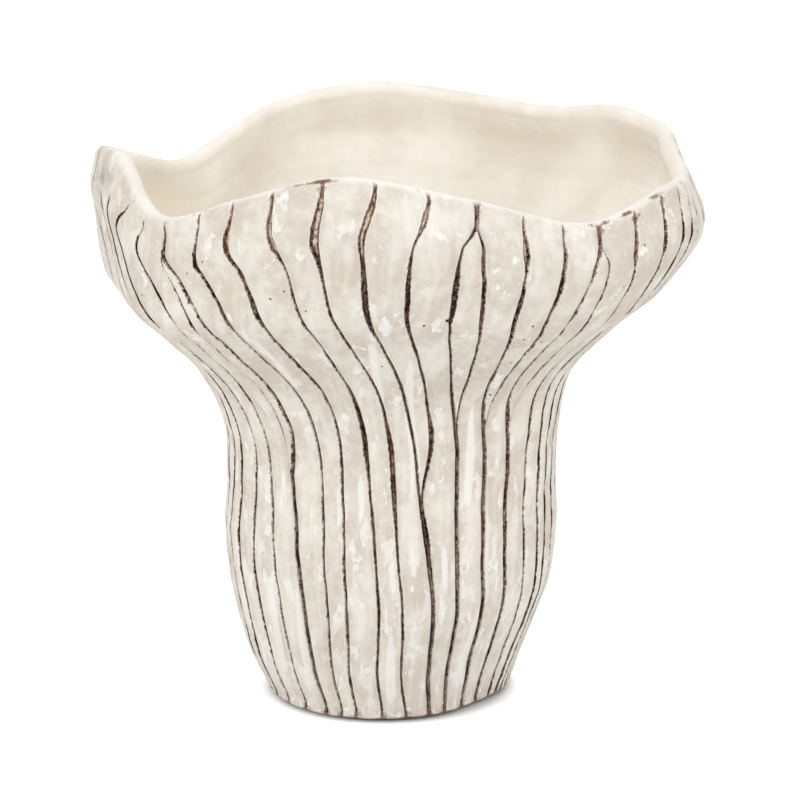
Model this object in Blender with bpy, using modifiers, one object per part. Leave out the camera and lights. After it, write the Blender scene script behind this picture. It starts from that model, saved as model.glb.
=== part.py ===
"""Fluted concrete planter: one cast and hand-carved shell with a wavy mouth, a drain plug and four foot pads.

Metres, Z up. The planter stands on z = 0 with its front towards -Y, and its box is centred on the origin.
An azimuth is in degrees round the upright axis, 0 at the front and positive towards +X.
A level numbers the stations of the outer wall: 0 is the foot and LIP_LEVEL is the outer edge of the lip.
"""

import math
import random

import bmesh
import bpy
import numpy as np

MM = 0.001

# Main sizes of the outer wall, as mean radii and heights over the underside
FOOT_RADIUS = 70 * MM
BELLY_RADIUS = 97 * MM
BELLY_HEIGHT = 98 * MM
WAIST_RADIUS = 96 * MM
WAIST_HEIGHT = 130 * MM
BRIM_RADIUS = 176 * MM
BRIM_HEIGHT = 298 * MM
LIP_RADIUS = 170.5 * MM
LIP_RISE = 20 * MM

# Thicknesses and rounded edges
WALL = 13 * MM
FLOOR_THICKNESS = 16 * MM
FLOOR_FILLET = 12 * MM
FOOT_EDGE = 2 * MM

# The wall between foot and belly follows a quarter sine, with stations at these shares of the belly's height
HEEL_SHARES = (0.28, 0.67)

# The flare between waist and brim: share of the rise, share of the widening
FLARE_SHAPE = ((0.19, 0.03), (0.39, 0.19), (0.58, 0.56), (0.71, 0.81), (0.89, 0.96))

# The thrown form leans a little: how far each station's centre lies to the right, from foot to lip
LEAN = tuple(lean * MM for lean in (-5, -7, -5, -5, -4, -4, -8.5, -11, -9, -1, 0, -2))

# How much of the mouth's waves each station takes, from foot to lip
WAVE_SHARE = (0, 0, 0, 0, 0, 0, 0.1, 0.25, 0.5, 0.75, 0.9, 1)

# The mouth's waves at the lip: azimuth, millimetres out, millimetres up
MOUTH_WAVES = (
    (-175, 2, 6),
    (-155, 3, -3),
    (-140, -12, -13),
    (-128, -7, -27),
    (-112, 0, -18),
    (-97, 3, -6),
    (-80, -7, 1),
    (-50, -2, -22),
    (-30, 0, -4),
    (-12, 2, 11),
    (15, -2, -2),
    (40, 2, -20),
    (60, 8, -8),
    (80, 0, -13),
    (100, -4, -5),
    (118, 8, -2),
    (128, 1, 3),
    (143, -4, -2),
    (160, 2, -1),
)

# The foot isn't quite round either: azimuth, millimetres out. It fades out above the heel
FOOT_WAVES = ((-120, 0), (-75, 1), (-30, 4), (15, 0), (50, -6), (90, 0), (140, 0))
FOOT_WAVE_LEVELS = 3

# The hand-pressed surface swells and sinks by LUMP, in waves: how many go round, and how far one turns a level
LUMP = 0.6 * MM
LUMP_WAVES = ((3, 1.3), (7, -0.9), (5, 2.1))

# Ribs and the carved grooves between them
GROOVE_DEPTH = 2.2 * MM
GROOVE_HALF_WIDTH = 1.6 * MM
RIB_CROWN = 1.4 * MM
CLOSED_RIB = 0.8 * MM
FULL_RIB = 8 * MM
WIDEST_GROOVE_SHARE = 0.3
LIP_GROOVE_SHARE = 0.35
LIP_FADE_LEVELS = 0.8
FOOT_GROOVE_SHARE = 0.25
FOOT_FADE_LEVELS = 0.25

# Routes of the grooves that face the front, in degrees of azimuth at ROUTE_LEVELS, from the lip to the foot
ROUTE_LEVELS = (11, 10.2, 9.2, 8.1, 7, 5.8, 5, 3, 0)
FRONT_GROOVES = (
    (-80, -83, -87.5, -84, -77, -71, -70, -71.5, -72),
    (-70, -73.5, -80, -72, -64, -61.5, -61, -62, -62),
    (-60, -66, -69, -56, -51, -50, -52, -52.5, -50),
    (-54, -57, -53, -44.5, -43, -43.5, -45, -42, -38),
    (-47, -47.5, -46, -39.5, -38.5, -35, -36, -32, -27.5),
    (-43, -43, -43, -36.5, -34.5, -32, -32, -28, -24),
    (-38, -39, -38, -31, -28.5, -23.5, -24, -22, -20.5),
    (-30, -32, -30, -24, -21, -15.5, -16.5, -15, -14),
    (-22, -23, -21, -16, -12, -7.5, -8, -4.5, -3),
    (-12.5, -14, -14.5, -10, -5.5, 0, 0, 3, 7.5),
    (-3, -5.5, -6.5, -3, 1.5, 7, 7.5, 13, 18),
    (6.5, 4, 2, 4.5, 8.5, 13, 13.5, 17, 22),
    (14.5, 12, 11, 13, 16, 20.5, 21.5, 22.5, 26),
    (16, 16, 15.3, 19, 22, 23.5, 25, 27, 31),
    (24, 23, 23, 25.5, 29, 30, 31.5, 32, 37),
    (32, 30.5, 30, 32, 34.5, 33.5, 36, 37, 41),
    (39.5, 37, 36, 37, 39, 39, 41, 41.5, 47),
    (41, 41, 39.8, 42, 45.5, 44, 46, 46.5, 52),
    (48, 45.5, 46, 49.5, 52, 50.5, 50.5, 51.5, 58),
    (55, 53, 53, 57, 60, 57.5, 58.5, 60, 65),
    (61, 58.5, 59, 62.5, 66, 66, 66.5, 66.5, 71),
    (67, 62.5, 63, 67, 72, 75, 75, 75, 78),
    (72.5, 67, 68, 73, 79, 83, 84, 84, 86),
)

# Pairs of grooves that run together low down: the number of each pair's left groove, and the two levels between
# which they are apart. STAYS_APART lies above the lip. In front the right groove does all of the parting
STAYS_APART = 99
FRONT_PAIR_NUMBERS = (4, 10, 12, 14, 16)
FRONT_PAIR_LEVELS = ((3.8, 10.6), (3.8, STAYS_APART), (5.0, 10.8), (5.0, STAYS_APART), (5.0, 10.8))
FRONT_LEFT_SHARE = 0
PARTING_LEVELS = 1.4

# The grooves behind are spaced evenly with a small unevenness, and a few run together low down.
# BACK_SWIRL is how far they turn by each of ROUTE_LEVELS, once they are BACK_SETTLE grooves away from the front ones
BACK_GROOVES = 20
BACK_SWIRL = (0, 0.5, 1, 3, 5, 8, 9.5, 11, 12.5)
BACK_SETTLE = 4
BACK_WANDER = 1
BACK_SEED = 11
BACK_PAIR_NUMBERS = (25, 31, 38)
BACK_PAIR_LEVELS = ((3.2, STAYS_APART), (1.9, STAYS_APART), (3.8, STAYS_APART))
BACK_LEFT_SHARE = 0.5
BACK_PARTING_LEVELS = 3.5

# Drain hole, plug and pads
DRAIN_RADIUS = 9.5 * MM
CLEARANCE = 0.3 * MM
PLUG_TAPER = 1 * MM
PLUG_CHAMFER = 1 * MM
PLUG_RECESS = 4 * MM
FLANGE_OVERLAP = 4.5 * MM
SEAT_MARGIN = 1.5 * MM
SEAT_DEPTH = 1 * MM
FLANGE_THICKNESS = 3 * MM
FLANGE_EDGE = 0.8 * MM
GRIP_NECK_RADIUS = 3.2 * MM
GRIP_NECK_HEIGHT = 3.5 * MM
GRIP_RADIUS = 5.5 * MM
GRIP_HEIGHT = 4.5 * MM
GRIP_EDGE = 1.2 * MM
PLUG_SIDES = 32
PAD_RADIUS = 9 * MM
PAD_THICKNESS = 1.5 * MM
PAD_EDGE = 0.3 * MM
PAD_INSET = 10 * MM
PAD_COUNT = 4
PAD_SIDES = 28

# How finely the surfaces are divided and measured, in levels, steps and neighbours
RING_STEP = 0.5
LIP_STEPS = 5
FILLET_STEPS = 3
EDGE_STEPS = 2
CORNER_STEPS = 2
SLOPE_REACH = 0.05
SEARCH_STEPS = 200
RELAX_REACH = 2
SMOOTH_ANGLE = math.radians(40)
MERGE_DISTANCE = 0.01 * MM

COLLECTION = "Concrete planter"
UNDERSIDE = PAD_THICKNESS + CLEARANCE
FLOOR_TOP = UNDERSIDE + FLOOR_THICKNESS
SEAT = FLOOR_TOP - SEAT_DEPTH


def smooth(keys, rows, at):
    """The smooth curve through rows at unevenly spaced keys, read at the given places."""
    rows = np.asarray(rows, float)
    keys = np.asarray(keys, float)
    slopes = np.gradient(rows, keys, axis=0)
    at = np.clip(np.asarray(at, float), keys[0], keys[-1])
    i = np.clip(np.searchsorted(keys, at, side="right") - 1, 0, len(keys) - 2)
    span = (keys[i + 1] - keys[i])[..., None]
    t = (at - keys[i])[..., None] / span
    ahead = t * t * (3 - 2 * t)
    bends = t * (1 - t) * ((1 - t) * slopes[i] - t * slopes[i + 1]) * span
    return rows[i] * (1 - ahead) + rows[i + 1] * ahead + bends


def smooth_round(waves, azimuth):
    """The smooth closed curve through waves, whose rows start with an azimuth, read at the given azimuths."""
    waves = np.asarray(waves, float)
    turns = np.concatenate([waves, waves, waves])
    turns[:, 0] += np.repeat((-360, 0, 360), len(waves))
    azimuth = (np.asarray(azimuth, float) + 180) % 360 - 180
    return smooth(turns[:, 0], turns[:, 1:], azimuth)


def eased(share):
    """0 up to 1 with level ends, for a share from 0 to 1."""
    share = np.clip(share, 0, 1)
    return share * share * (3 - 2 * share)


def wall_stations():
    """Height, radius, lean and wave share of each station of the outer wall, from foot to lip."""
    heights = [0.0]
    radii = [FOOT_RADIUS]
    for share in HEEL_SHARES:
        heights.append(share * BELLY_HEIGHT)
        radii.append(FOOT_RADIUS + (BELLY_RADIUS - FOOT_RADIUS) * math.sin(share * math.pi / 2))
    heights += [BELLY_HEIGHT, WAIST_HEIGHT]
    radii += [BELLY_RADIUS, WAIST_RADIUS]
    for rise, widening in FLARE_SHAPE:
        heights.append(WAIST_HEIGHT + (BRIM_HEIGHT - WAIST_HEIGHT) * rise)
        radii.append(WAIST_RADIUS + (BRIM_RADIUS - WAIST_RADIUS) * widening)
    heights += [BRIM_HEIGHT, BRIM_HEIGHT + LIP_RISE]
    radii += [BRIM_RADIUS, LIP_RADIUS]
    return np.stack([heights, radii, LEAN, WAVE_SHARE], axis=1)


STATIONS = wall_stations()
LEVELS = np.arange(len(STATIONS))
LIP_LEVEL = LEVELS[-1]


def section(azimuth, level):
    """Radius, height and lean of the wall without its ribs, at azimuths and levels."""
    azimuth, level = np.broadcast_arrays(np.asarray(azimuth, float), np.asarray(level, float))
    height, radius, lean, share = np.moveaxis(smooth(LEVELS, STATIONS, level), -1, 0)
    out, up = np.moveaxis(smooth_round(MOUTH_WAVES, azimuth), -1, 0)
    foot_out = smooth_round(FOOT_WAVES, azimuth)[..., 0]
    foot_share = np.clip(1 - level / FOOT_WAVE_LEVELS, 0, 1) ** 2
    radius = radius + out * MM * share + foot_out * MM * foot_share
    turn = np.radians(azimuth)
    lumps = sum(np.sin(waves * turn + drift * level) for waves, drift in LUMP_WAVES) / len(LUMP_WAVES)
    radius = radius + LUMP * lumps * eased(level)
    return radius, UNDERSIDE + height + up * MM * share, lean


def slope(azimuth, level):
    """Outward and upward parts of the unit normal of the wall, in its upright section."""
    low = np.clip(np.asarray(level, float) - SLOPE_REACH, 0, LIP_LEVEL)
    high = np.clip(np.asarray(level, float) + SLOPE_REACH, 0, LIP_LEVEL)
    low_radius, low_height, _ = section(azimuth, low)
    high_radius, high_height, _ = section(azimuth, high)
    along = np.hypot(high_radius - low_radius, high_height - low_height)
    return (high_height - low_height) / along, -(high_radius - low_radius) / along


def place(azimuth, radius, height, lean):
    """Points in space from azimuth, radius, height and lean."""
    turn = np.radians(azimuth)
    x, y, z = np.broadcast_arrays(lean + radius * np.sin(turn), -radius * np.cos(turn), height)
    return np.stack([x, y, z], axis=-1)


def groove_table():
    """Azimuths of every groove at ROUTE_LEVELS, in order round the planter from the left."""
    wander = random.Random(BACK_SEED)
    last = np.array(FRONT_GROOVES[-1], float)
    gap = np.array(FRONT_GROOVES[0], float) + 360 - last
    rows = [np.array(row, float) for row in FRONT_GROOVES]
    for number in range(1, BACK_GROOVES + 1):
        between = last + gap * number / (BACK_GROOVES + 1)
        settled = eased(min(number, BACK_GROOVES + 1 - number) / BACK_SETTLE)
        row = between * (1 - settled) + (between[0] + np.array(BACK_SWIRL)) * settled
        rows.append(row + [wander.uniform(-BACK_WANDER, BACK_WANDER) for _ in ROUTE_LEVELS])
    return np.array(rows)


GROOVES = groove_table()


def groove_azimuths(level):
    """Azimuth of each groove at one level, with joined grooves brought together."""
    azimuths = smooth(ROUTE_LEVELS[::-1], GROOVES.T[::-1], np.array(level))
    front = zip(FRONT_PAIR_NUMBERS, FRONT_PAIR_LEVELS)
    back = zip(BACK_PAIR_NUMBERS, BACK_PAIR_LEVELS)
    pairs = [(left, *apart, PARTING_LEVELS, FRONT_LEFT_SHARE) for left, apart in front]
    pairs += [(left, *apart, BACK_PARTING_LEVELS, BACK_LEFT_SHARE) for left, apart in back]
    for left, part, meet, parting, left_share in pairs:
        opened = eased((level - part) / parting) * eased((meet - level) / parting)
        closed_gap = math.degrees(CLOSED_RIB / section(azimuths[left], level)[0])
        full_gap = azimuths[left + 1] - azimuths[left]
        gap = max(full_gap * opened, closed_gap)
        azimuths[left] += (full_gap - gap) * left_share
        azimuths[left + 1] = azimuths[left] + gap
    return azimuths


def ribbed_ring(level):
    """One ring of the outer wall: in each rib a groove floor, an edge, the crown and the other edge."""
    start = groove_azimuths(level)
    width = np.append(start[1:], start[0] + 360) - start
    radius = section(start, level)[0]
    arc = np.radians(width) * radius
    edge = np.minimum(GROOVE_HALF_WIDTH / arc, WIDEST_GROOVE_SHARE)
    across = np.stack([np.zeros_like(edge), edge, np.full_like(edge, 0.5), 1 - edge], axis=1)
    azimuth = start[:, None] + across * width[:, None]
    nearest = np.minimum(across, 1 - across)
    lift = eased(arc / FULL_RIB)[:, None]
    below_lip = LIP_GROOVE_SHARE + (1 - LIP_GROOVE_SHARE) * eased((LIP_LEVEL - level) / LIP_FADE_LEVELS)
    above_foot = FOOT_GROOVE_SHARE + (1 - FOOT_GROOVE_SHARE) * eased(level / FOOT_FADE_LEVELS)
    depth = below_lip * above_foot
    out_of_groove = GROOVE_DEPTH * np.minimum(nearest * arc[:, None] / GROOVE_HALF_WIDTH, 1)
    crown = RIB_CROWN * (1 - (1 - 2 * nearest) ** 2)
    sunk = (lift * (out_of_groove + crown) - GROOVE_DEPTH - RIB_CROWN) * depth
    return offset_ring(azimuth.ravel(), level, sunk.ravel())


def offset_ring(azimuth, level, offset):
    """A ring of the wall moved outwards along its normal by an offset."""
    radius, height, lean = section(azimuth, level)
    outward, upward = slope(azimuth, level)
    return place(azimuth, radius + outward * offset, height + upward * offset, lean)


def lip_rings(azimuth):
    """Half-round rings that carry the wall over the lip, between its outer and its inner face."""
    radius, height, lean = section(azimuth, LIP_LEVEL)
    outward, upward = slope(azimuth, LIP_LEVEL)
    rings = []
    for step in range(1, LIP_STEPS):
        turn = math.pi * step / LIP_STEPS
        inward = WALL / 2 * (1 - math.cos(turn))
        along = WALL / 2 * math.sin(turn)
        ring_radius = radius - outward * inward - upward * along
        ring_height = height - upward * inward + outward * along
        rings.append(place(azimuth, ring_radius, ring_height, lean))
    return rings


def inner_rings(azimuth, coarse_azimuth, coarse_below):
    """Rings of the smooth inner wall from the lip down to the floor fillet, then round the fillet."""
    fillet_height = FLOOR_TOP + FLOOR_FILLET
    trial = np.linspace(0, LIP_LEVEL / 2, SEARCH_STEPS)
    outward, upward = slope(0, trial)
    inner_height = section(0, trial)[1] - upward * WALL
    lowest = float(np.interp(fillet_height, inner_height, trial))
    rings = []
    for level in np.arange(LIP_LEVEL, lowest + RING_STEP, -2 * RING_STEP):
        rings.append(offset_ring(azimuth if level > coarse_below else coarse_azimuth, level, -WALL))
    radius, height, lean = section(coarse_azimuth, lowest)
    outward, upward = slope(coarse_azimuth, lowest)
    radius = radius - outward * WALL
    for step in range(FILLET_STEPS + 1):
        turn = math.pi / 2 * step / FILLET_STEPS
        ring_radius = radius - FLOOR_FILLET * (1 - math.cos(turn))
        ring_height = fillet_height - FLOOR_FILLET * math.sin(turn)
        rings.append(place(coarse_azimuth, ring_radius, ring_height, lean))
    return rings


def foot_rings():
    """Rings round the foot's lower edge, from the outer wall down to the flat underside."""
    wall = ribbed_ring(0)
    centre = np.array([LEAN[0], 0, 0])
    rings = []
    for step in range(EDGE_STEPS, 0, -1):
        turn = math.pi / 2 * step / EDGE_STEPS
        arm = wall - centre
        reach = np.hypot(arm[:, 0], arm[:, 1])
        shrink = 1 - FOOT_EDGE * (1 - math.cos(turn)) / reach
        ring = centre + arm * shrink[:, None]
        ring[:, 2] = UNDERSIDE + FOOT_EDGE * (1 - math.sin(turn))
        rings.append(ring)
    return rings


def drain_rings(azimuth):
    """The shallow seat in the floor, a little wider than the plug's flange, then the upright drain hole."""
    seat_radius = DRAIN_RADIUS + FLANGE_OVERLAP + SEAT_MARGIN
    circles = ((seat_radius, FLOOR_TOP), (seat_radius, SEAT), (DRAIN_RADIUS, SEAT), (DRAIN_RADIUS, UNDERSIDE))
    return [place(azimuth, radius, height, LEAN[0]) for radius, height in circles]


def relaxed_azimuths(azimuths):
    """Azimuths near the given ones but with nearly even gaps, for the smooth side of the wall."""
    count = len(azimuths)
    even = np.arange(count) * 360 / count
    drift = azimuths - even
    near = range(-RELAX_REACH, RELAX_REACH + 1)
    return even + np.mean([np.roll(drift, shift) for shift in near], axis=0)


def shell_rings():
    """Every ring of the closed shell: up the outer wall, over the lip, down inside, through the drain, back out."""
    levels = [FOOT_FADE_LEVELS, *np.arange(RING_STEP, LIP_LEVEL + RING_STEP / 2, RING_STEP)]
    outer = [ribbed_ring(level) for level in levels]
    coarse = relaxed_azimuths(groove_azimuths(LIP_LEVEL))
    following = np.append(coarse[1:], coarse[0] + 360)
    fine = np.stack([coarse, (coarse + following) / 2], axis=1).ravel()
    rings = foot_rings() + outer + lip_rings(fine) + inner_rings(fine, coarse, LIP_LEVEL / 2)
    even = coarse[0] + np.arange(len(coarse)) * 360 / len(coarse)
    return rings + drain_rings(even)


def principled(name, red_green_blue, roughness, metallic=0.0):
    """A plain material from an sRGB colour of 0 to 255 a channel."""
    material = bpy.data.materials.new(name)
    material.use_nodes = True
    shader = material.node_tree.nodes["Principled BSDF"]
    linear = [((c / 255 + 0.055) / 1.055) ** 2.4 for c in red_green_blue]
    shader.inputs["Base Color"].default_value = (*linear, 1)
    shader.inputs["Roughness"].default_value = roughness
    shader.inputs["Metallic"].default_value = metallic
    material.diffuse_color = (*linear, 1)
    return material


def add_object(name, mesh, material, collection):
    mesh.materials.append(material)
    mesh.shade_smooth()
    mesh.set_sharp_from_angle(angle=SMOOTH_ANGLE)
    piece = bpy.data.objects.new(name, mesh)
    collection.objects.link(piece)
    return piece


def stitch(mesh, first, second):
    """Joins two rings of vertices with faces. One ring may have twice or four times the vertices of the other."""
    if len(first) < len(second):
        first, second = second, first
    share = len(first) // len(second)
    for i, corner in enumerate(second):
        following = second[(i + 1) % len(second)]
        fan = [first[(i * share + k) % len(first)] for k in range(share + 1)]
        middle = share // 2
        if share == 1:
            mesh.faces.new((fan[0], fan[1], following, corner))
            continue
        for k in range(share):
            mesh.faces.new((fan[k], fan[k + 1], corner if k < middle else following))
        mesh.faces.new((fan[middle], following, corner))


def make_shell(rings, material, collection):
    """The one concrete piece, lofted through its rings, which close on themselves through the drain hole."""
    mesh = bmesh.new()
    rows = [[mesh.verts.new(point) for point in ring] for ring in rings]
    for first, second in zip(rows, rows[1:] + rows[:1]):
        stitch(mesh, first, second)
    bmesh.ops.recalc_face_normals(mesh, faces=mesh.faces)
    data = bpy.data.meshes.new("planter_body")
    mesh.to_mesh(data)
    mesh.free()
    return add_object("planter_body", data, material, collection)


def rounded_corner(radius, height, edge, upper):
    """A quarter round of a turned profile that runs downwards: over an upper corner, or in under a lower one."""
    turns = [math.pi / 2 * step / CORNER_STEPS for step in range(CORNER_STEPS + 1)]
    if upper:
        return [(radius - edge * (1 - math.sin(turn)), height - edge * (1 - math.cos(turn))) for turn in turns]
    return [(radius - edge * (1 - math.cos(turn)), height + edge * (1 - math.sin(turn))) for turn in turns]


def plug_profile():
    """Radius and height of the plug's outside, from the top of its grip down to the end of its stem."""
    stem_radius = DRAIN_RADIUS * math.cos(math.pi / len(GROOVES)) - CLEARANCE
    tip_radius = stem_radius - PLUG_TAPER
    tip = UNDERSIDE + PLUG_RECESS - SEAT
    flange_radius = DRAIN_RADIUS + FLANGE_OVERLAP
    flange_top = CLEARANCE + FLANGE_THICKNESS
    grip_foot = flange_top + GRIP_NECK_HEIGHT
    grip_top = grip_foot + GRIP_HEIGHT
    grip = rounded_corner(GRIP_RADIUS, grip_top, GRIP_EDGE, True)
    grip += rounded_corner(GRIP_RADIUS, grip_foot, GRIP_EDGE, False)
    neck = [(GRIP_NECK_RADIUS, grip_foot), (GRIP_NECK_RADIUS, flange_top)]
    flange = rounded_corner(flange_radius, flange_top, FLANGE_EDGE, True)
    flange.append((flange_radius, CLEARANCE))
    stem = [(stem_radius, CLEARANCE), (tip_radius, tip + PLUG_CHAMFER), (tip_radius - PLUG_CHAMFER, tip)]
    return [(0, grip_top)] + grip + neck + flange + stem + [(0, tip)]


def make_plug(seat, material, collection):
    """The rubber plug, turned about its own upright axis, with its origin on its seat."""
    profile = plug_profile()
    mesh = bpy.data.meshes.new("drain_plug")
    mesh.from_pydata([(radius, 0, height) for radius, height in profile],
                     [(i, i + 1) for i in range(len(profile) - 1)], [])
    plug = add_object("drain_plug", mesh, material, collection)
    turned = plug.modifiers.new("Turned", "SCREW")
    turned.axis = "Z"
    turned.angle = math.tau
    turned.steps = PLUG_SIDES
    turned.render_steps = PLUG_SIDES
    turned.use_merge_vertices = True
    turned.merge_threshold = MERGE_DISTANCE
    turned.use_smooth_shade = True
    plug.location = seat
    return plug


def make_pad(number, centre, material, collection):
    """One thin round pad under the foot, with a softened edge."""
    mesh = bmesh.new()
    bmesh.ops.create_cone(mesh, cap_ends=True, segments=PAD_SIDES, radius1=PAD_RADIUS, radius2=PAD_RADIUS,
                          depth=PAD_THICKNESS)
    data = bpy.data.meshes.new(f"foot_pad_{number}")
    mesh.to_mesh(data)
    mesh.free()
    pad = add_object(f"foot_pad_{number}", data, material, collection)
    softened = pad.modifiers.new("Softened edge", "BEVEL")
    softened.width = PAD_EDGE
    softened.segments = 1
    softened.limit_method = "ANGLE"
    pad.location = centre
    return pad


def clear_scene():
    for piece in list(bpy.data.objects):
        bpy.data.objects.remove(piece)


def main():
    clear_scene()
    collection = bpy.data.collections.new(COLLECTION)
    bpy.context.scene.collection.children.link(collection)
    concrete = principled("Cream washed concrete", (226, 218, 207), 0.85)
    rubber = principled("Black plug rubber", (34, 33, 32), 0.6)
    pad_rubber = principled("Grey pad rubber", (96, 94, 90), 0.8)

    rings = shell_rings()
    corners = np.concatenate(rings)
    centre = (corners.min(axis=0) + corners.max(axis=0)) / 2
    to_origin = np.array([-centre[0], -centre[1], 0])
    make_shell([ring + to_origin for ring in rings], concrete, collection)

    foot_centre = np.array([LEAN[0], 0, 0]) + to_origin
    make_plug(foot_centre + [0, 0, SEAT], rubber, collection)
    pad_circle = FOOT_RADIUS - FOOT_EDGE - PAD_INSET - PAD_RADIUS
    for number in range(PAD_COUNT):
        azimuth = 360 * (number + 0.5) / PAD_COUNT
        centre = place(azimuth, pad_circle, PAD_THICKNESS / 2, LEAN[0]) + to_origin
        make_pad(number + 1, centre, pad_rubber, collection)


main()
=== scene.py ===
"""Fluted concrete planter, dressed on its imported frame.

The shell is cast concrete, carved by hand, limewashed and antiqued: brown pigment stays in its grooves.
Metres, Z up, front towards -Y. An azimuth is in degrees round the foot's axis, 0 in front, positive towards
+X. A level numbers the stations of the outer wall, from 0 at the foot to LIP_LEVEL at the lip's outer edge.
"""

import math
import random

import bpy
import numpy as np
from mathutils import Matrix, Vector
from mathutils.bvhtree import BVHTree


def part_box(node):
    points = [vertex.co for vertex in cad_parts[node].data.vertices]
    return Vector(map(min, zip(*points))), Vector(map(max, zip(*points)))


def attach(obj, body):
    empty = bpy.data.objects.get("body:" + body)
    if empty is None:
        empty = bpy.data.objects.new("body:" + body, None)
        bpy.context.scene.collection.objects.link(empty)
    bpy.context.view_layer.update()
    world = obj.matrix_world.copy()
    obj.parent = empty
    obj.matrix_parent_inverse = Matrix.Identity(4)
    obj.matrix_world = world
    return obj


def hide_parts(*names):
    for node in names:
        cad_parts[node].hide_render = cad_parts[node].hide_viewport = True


bl_info = {
    "name": "Fluted concrete planter",
    "version": (1, 0, 0),
    "blender": (4, 5, 0),
    "location": "View3D > Sidebar > Planter",
    "description": "Carves the ribbed shell, runs the limewash, turns the drain plug and sets the studio",
    "category": "Object",
}

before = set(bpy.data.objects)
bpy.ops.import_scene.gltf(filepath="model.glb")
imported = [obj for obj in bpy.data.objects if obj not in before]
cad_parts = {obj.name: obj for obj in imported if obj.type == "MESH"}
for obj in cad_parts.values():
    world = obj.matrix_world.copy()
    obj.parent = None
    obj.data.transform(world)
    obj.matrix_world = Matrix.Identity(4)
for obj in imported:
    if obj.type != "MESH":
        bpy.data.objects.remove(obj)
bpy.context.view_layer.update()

MM = 0.001

# The outer wall, repeated from the construction: mean radii, and heights over the underside
FOOT_RADIUS = 70 * MM
BELLY_RADIUS = 97 * MM
BELLY_HEIGHT = 98 * MM
WAIST_RADIUS = 96 * MM
WAIST_HEIGHT = 130 * MM
BRIM_RADIUS = 176 * MM
BRIM_HEIGHT = 298 * MM
LIP_RADIUS = 170.5 * MM
LIP_RISE = 20 * MM
HEEL_SHARES = (0.28, 0.67)
FLARE_SHAPE = ((0.19, 0.03), (0.39, 0.19), (0.58, 0.56), (0.71, 0.81), (0.89, 0.96))
LEAN = tuple(lean * MM for lean in (-5, -7, -5, -5, -4, -4, -8.5, -11, -9, -1, 0, -2))
WAVE_SHARE = (0, 0, 0, 0, 0, 0, 0.1, 0.25, 0.5, 0.75, 0.9, 1)

# The mouth's waves at the lip: azimuth, millimetres out, millimetres up
MOUTH_WAVES = (
    (-175, 2, 6), (-155, 3, -3), (-140, -12, -13), (-128, -7, -27), (-112, 0, -18), (-97, 3, -6),
    (-80, -7, 1), (-50, -2, -22), (-30, 0, -4), (-12, 2, 11), (15, -2, -2), (40, 2, -20), (60, 8, -8),
    (80, 0, -13), (100, -4, -5), (118, 8, -2), (128, 1, 3), (143, -4, -2), (160, 2, -1),
)
FOOT_WAVES = ((-120, 0), (-75, 1), (-30, 4), (15, 0), (50, -6), (90, 0), (140, 0))
FOOT_WAVE_LEVELS = 3
LUMP = 0.6 * MM
LUMP_WAVES = ((3, 1.3), (7, -0.9), (5, 2.1))

# Thicknesses, the rounded foot, the floor, the plug's seat and the drain hole
WALL = 13 * MM
FLOOR_THICKNESS = 16 * MM
FLOOR_FILLET = 12 * MM
FOOT_EDGE = 3 * MM
DRAIN_RADIUS = 9.5 * MM
SEAT_RADIUS = 15.5 * MM
SEAT_DEPTH = 1 * MM
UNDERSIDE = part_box("planter_body")[0].z
FLOOR_TOP = UNDERSIDE + FLOOR_THICKNESS
PLUG_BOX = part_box("drain_plug")
FOOT_CENTRE = (PLUG_BOX[0] + PLUG_BOX[1]) / 2

# Routes of the grooves that face the front, in degrees of azimuth at ROUTE_LEVELS, from the lip to the foot
ROUTE_LEVELS = (11, 10.2, 9.2, 8.1, 7, 5.8, 5, 3, 0)
FRONT_GROOVES = (
    (-80, -81, -83, -66, -62, -66.5, -69, -71.5, -72),
    (-70, -73.5, -77.5, -58.5, -54.5, -58.5, -61, -62, -62),
    (-60, -66, -67.5, -53, -49, -50.5, -51.5, -52.5, -50),
    (-54, -57, -53, -44.5, -43, -43.5, -45, -42, -38),
    (-47, -47.5, -46, -39.5, -38.5, -35, -36, -32, -27.5),
    (-43, -43, -43.8, -36.8, -34.5, -32, -32, -28, -24),
    (-38, -39, -38, -31, -28.5, -23.5, -24, -22, -20.5),
    (-30, -32, -30, -24, -21, -15.5, -16.5, -15, -14),
    (-22, -23, -21, -16, -12, -7.5, -8, -4.5, -3),
    (-12.5, -14, -14.5, -10, -5.5, 0, 0, 3, 7.5),
    (-3, -5.5, -6.5, -3, 1.5, 7, 7.5, 13, 18),
    (6.5, 4, 2, 4.5, 8.5, 13, 13.5, 17, 22),
    (14.5, 12, 10.6, 13, 16, 20.5, 21.5, 22.5, 26),
    (16, 15.2, 15, 19, 22, 23.5, 25, 27, 31),
    (24, 23, 23, 25.5, 29, 30, 31.5, 32, 37),
    (32, 30.5, 30, 32, 34.5, 33.5, 36, 37, 41),
    (39.5, 37, 36, 37, 39, 39, 41, 41.5, 47),
    (40.5, 39.8, 39.6, 42, 45.5, 44, 46, 46.5, 52),
    (48, 45.5, 46, 49.5, 52, 50.5, 50.5, 51.5, 58),
    (55, 53, 53, 57, 60, 57.5, 58.5, 60, 65),
    (61, 58.5, 59, 62.5, 66, 66, 66.5, 66.5, 71),
    (67, 62.5, 63, 67, 72, 75, 75, 75, 78),
    (72.5, 67, 68, 73, 79, 83, 84, 84, 86),
)

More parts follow.
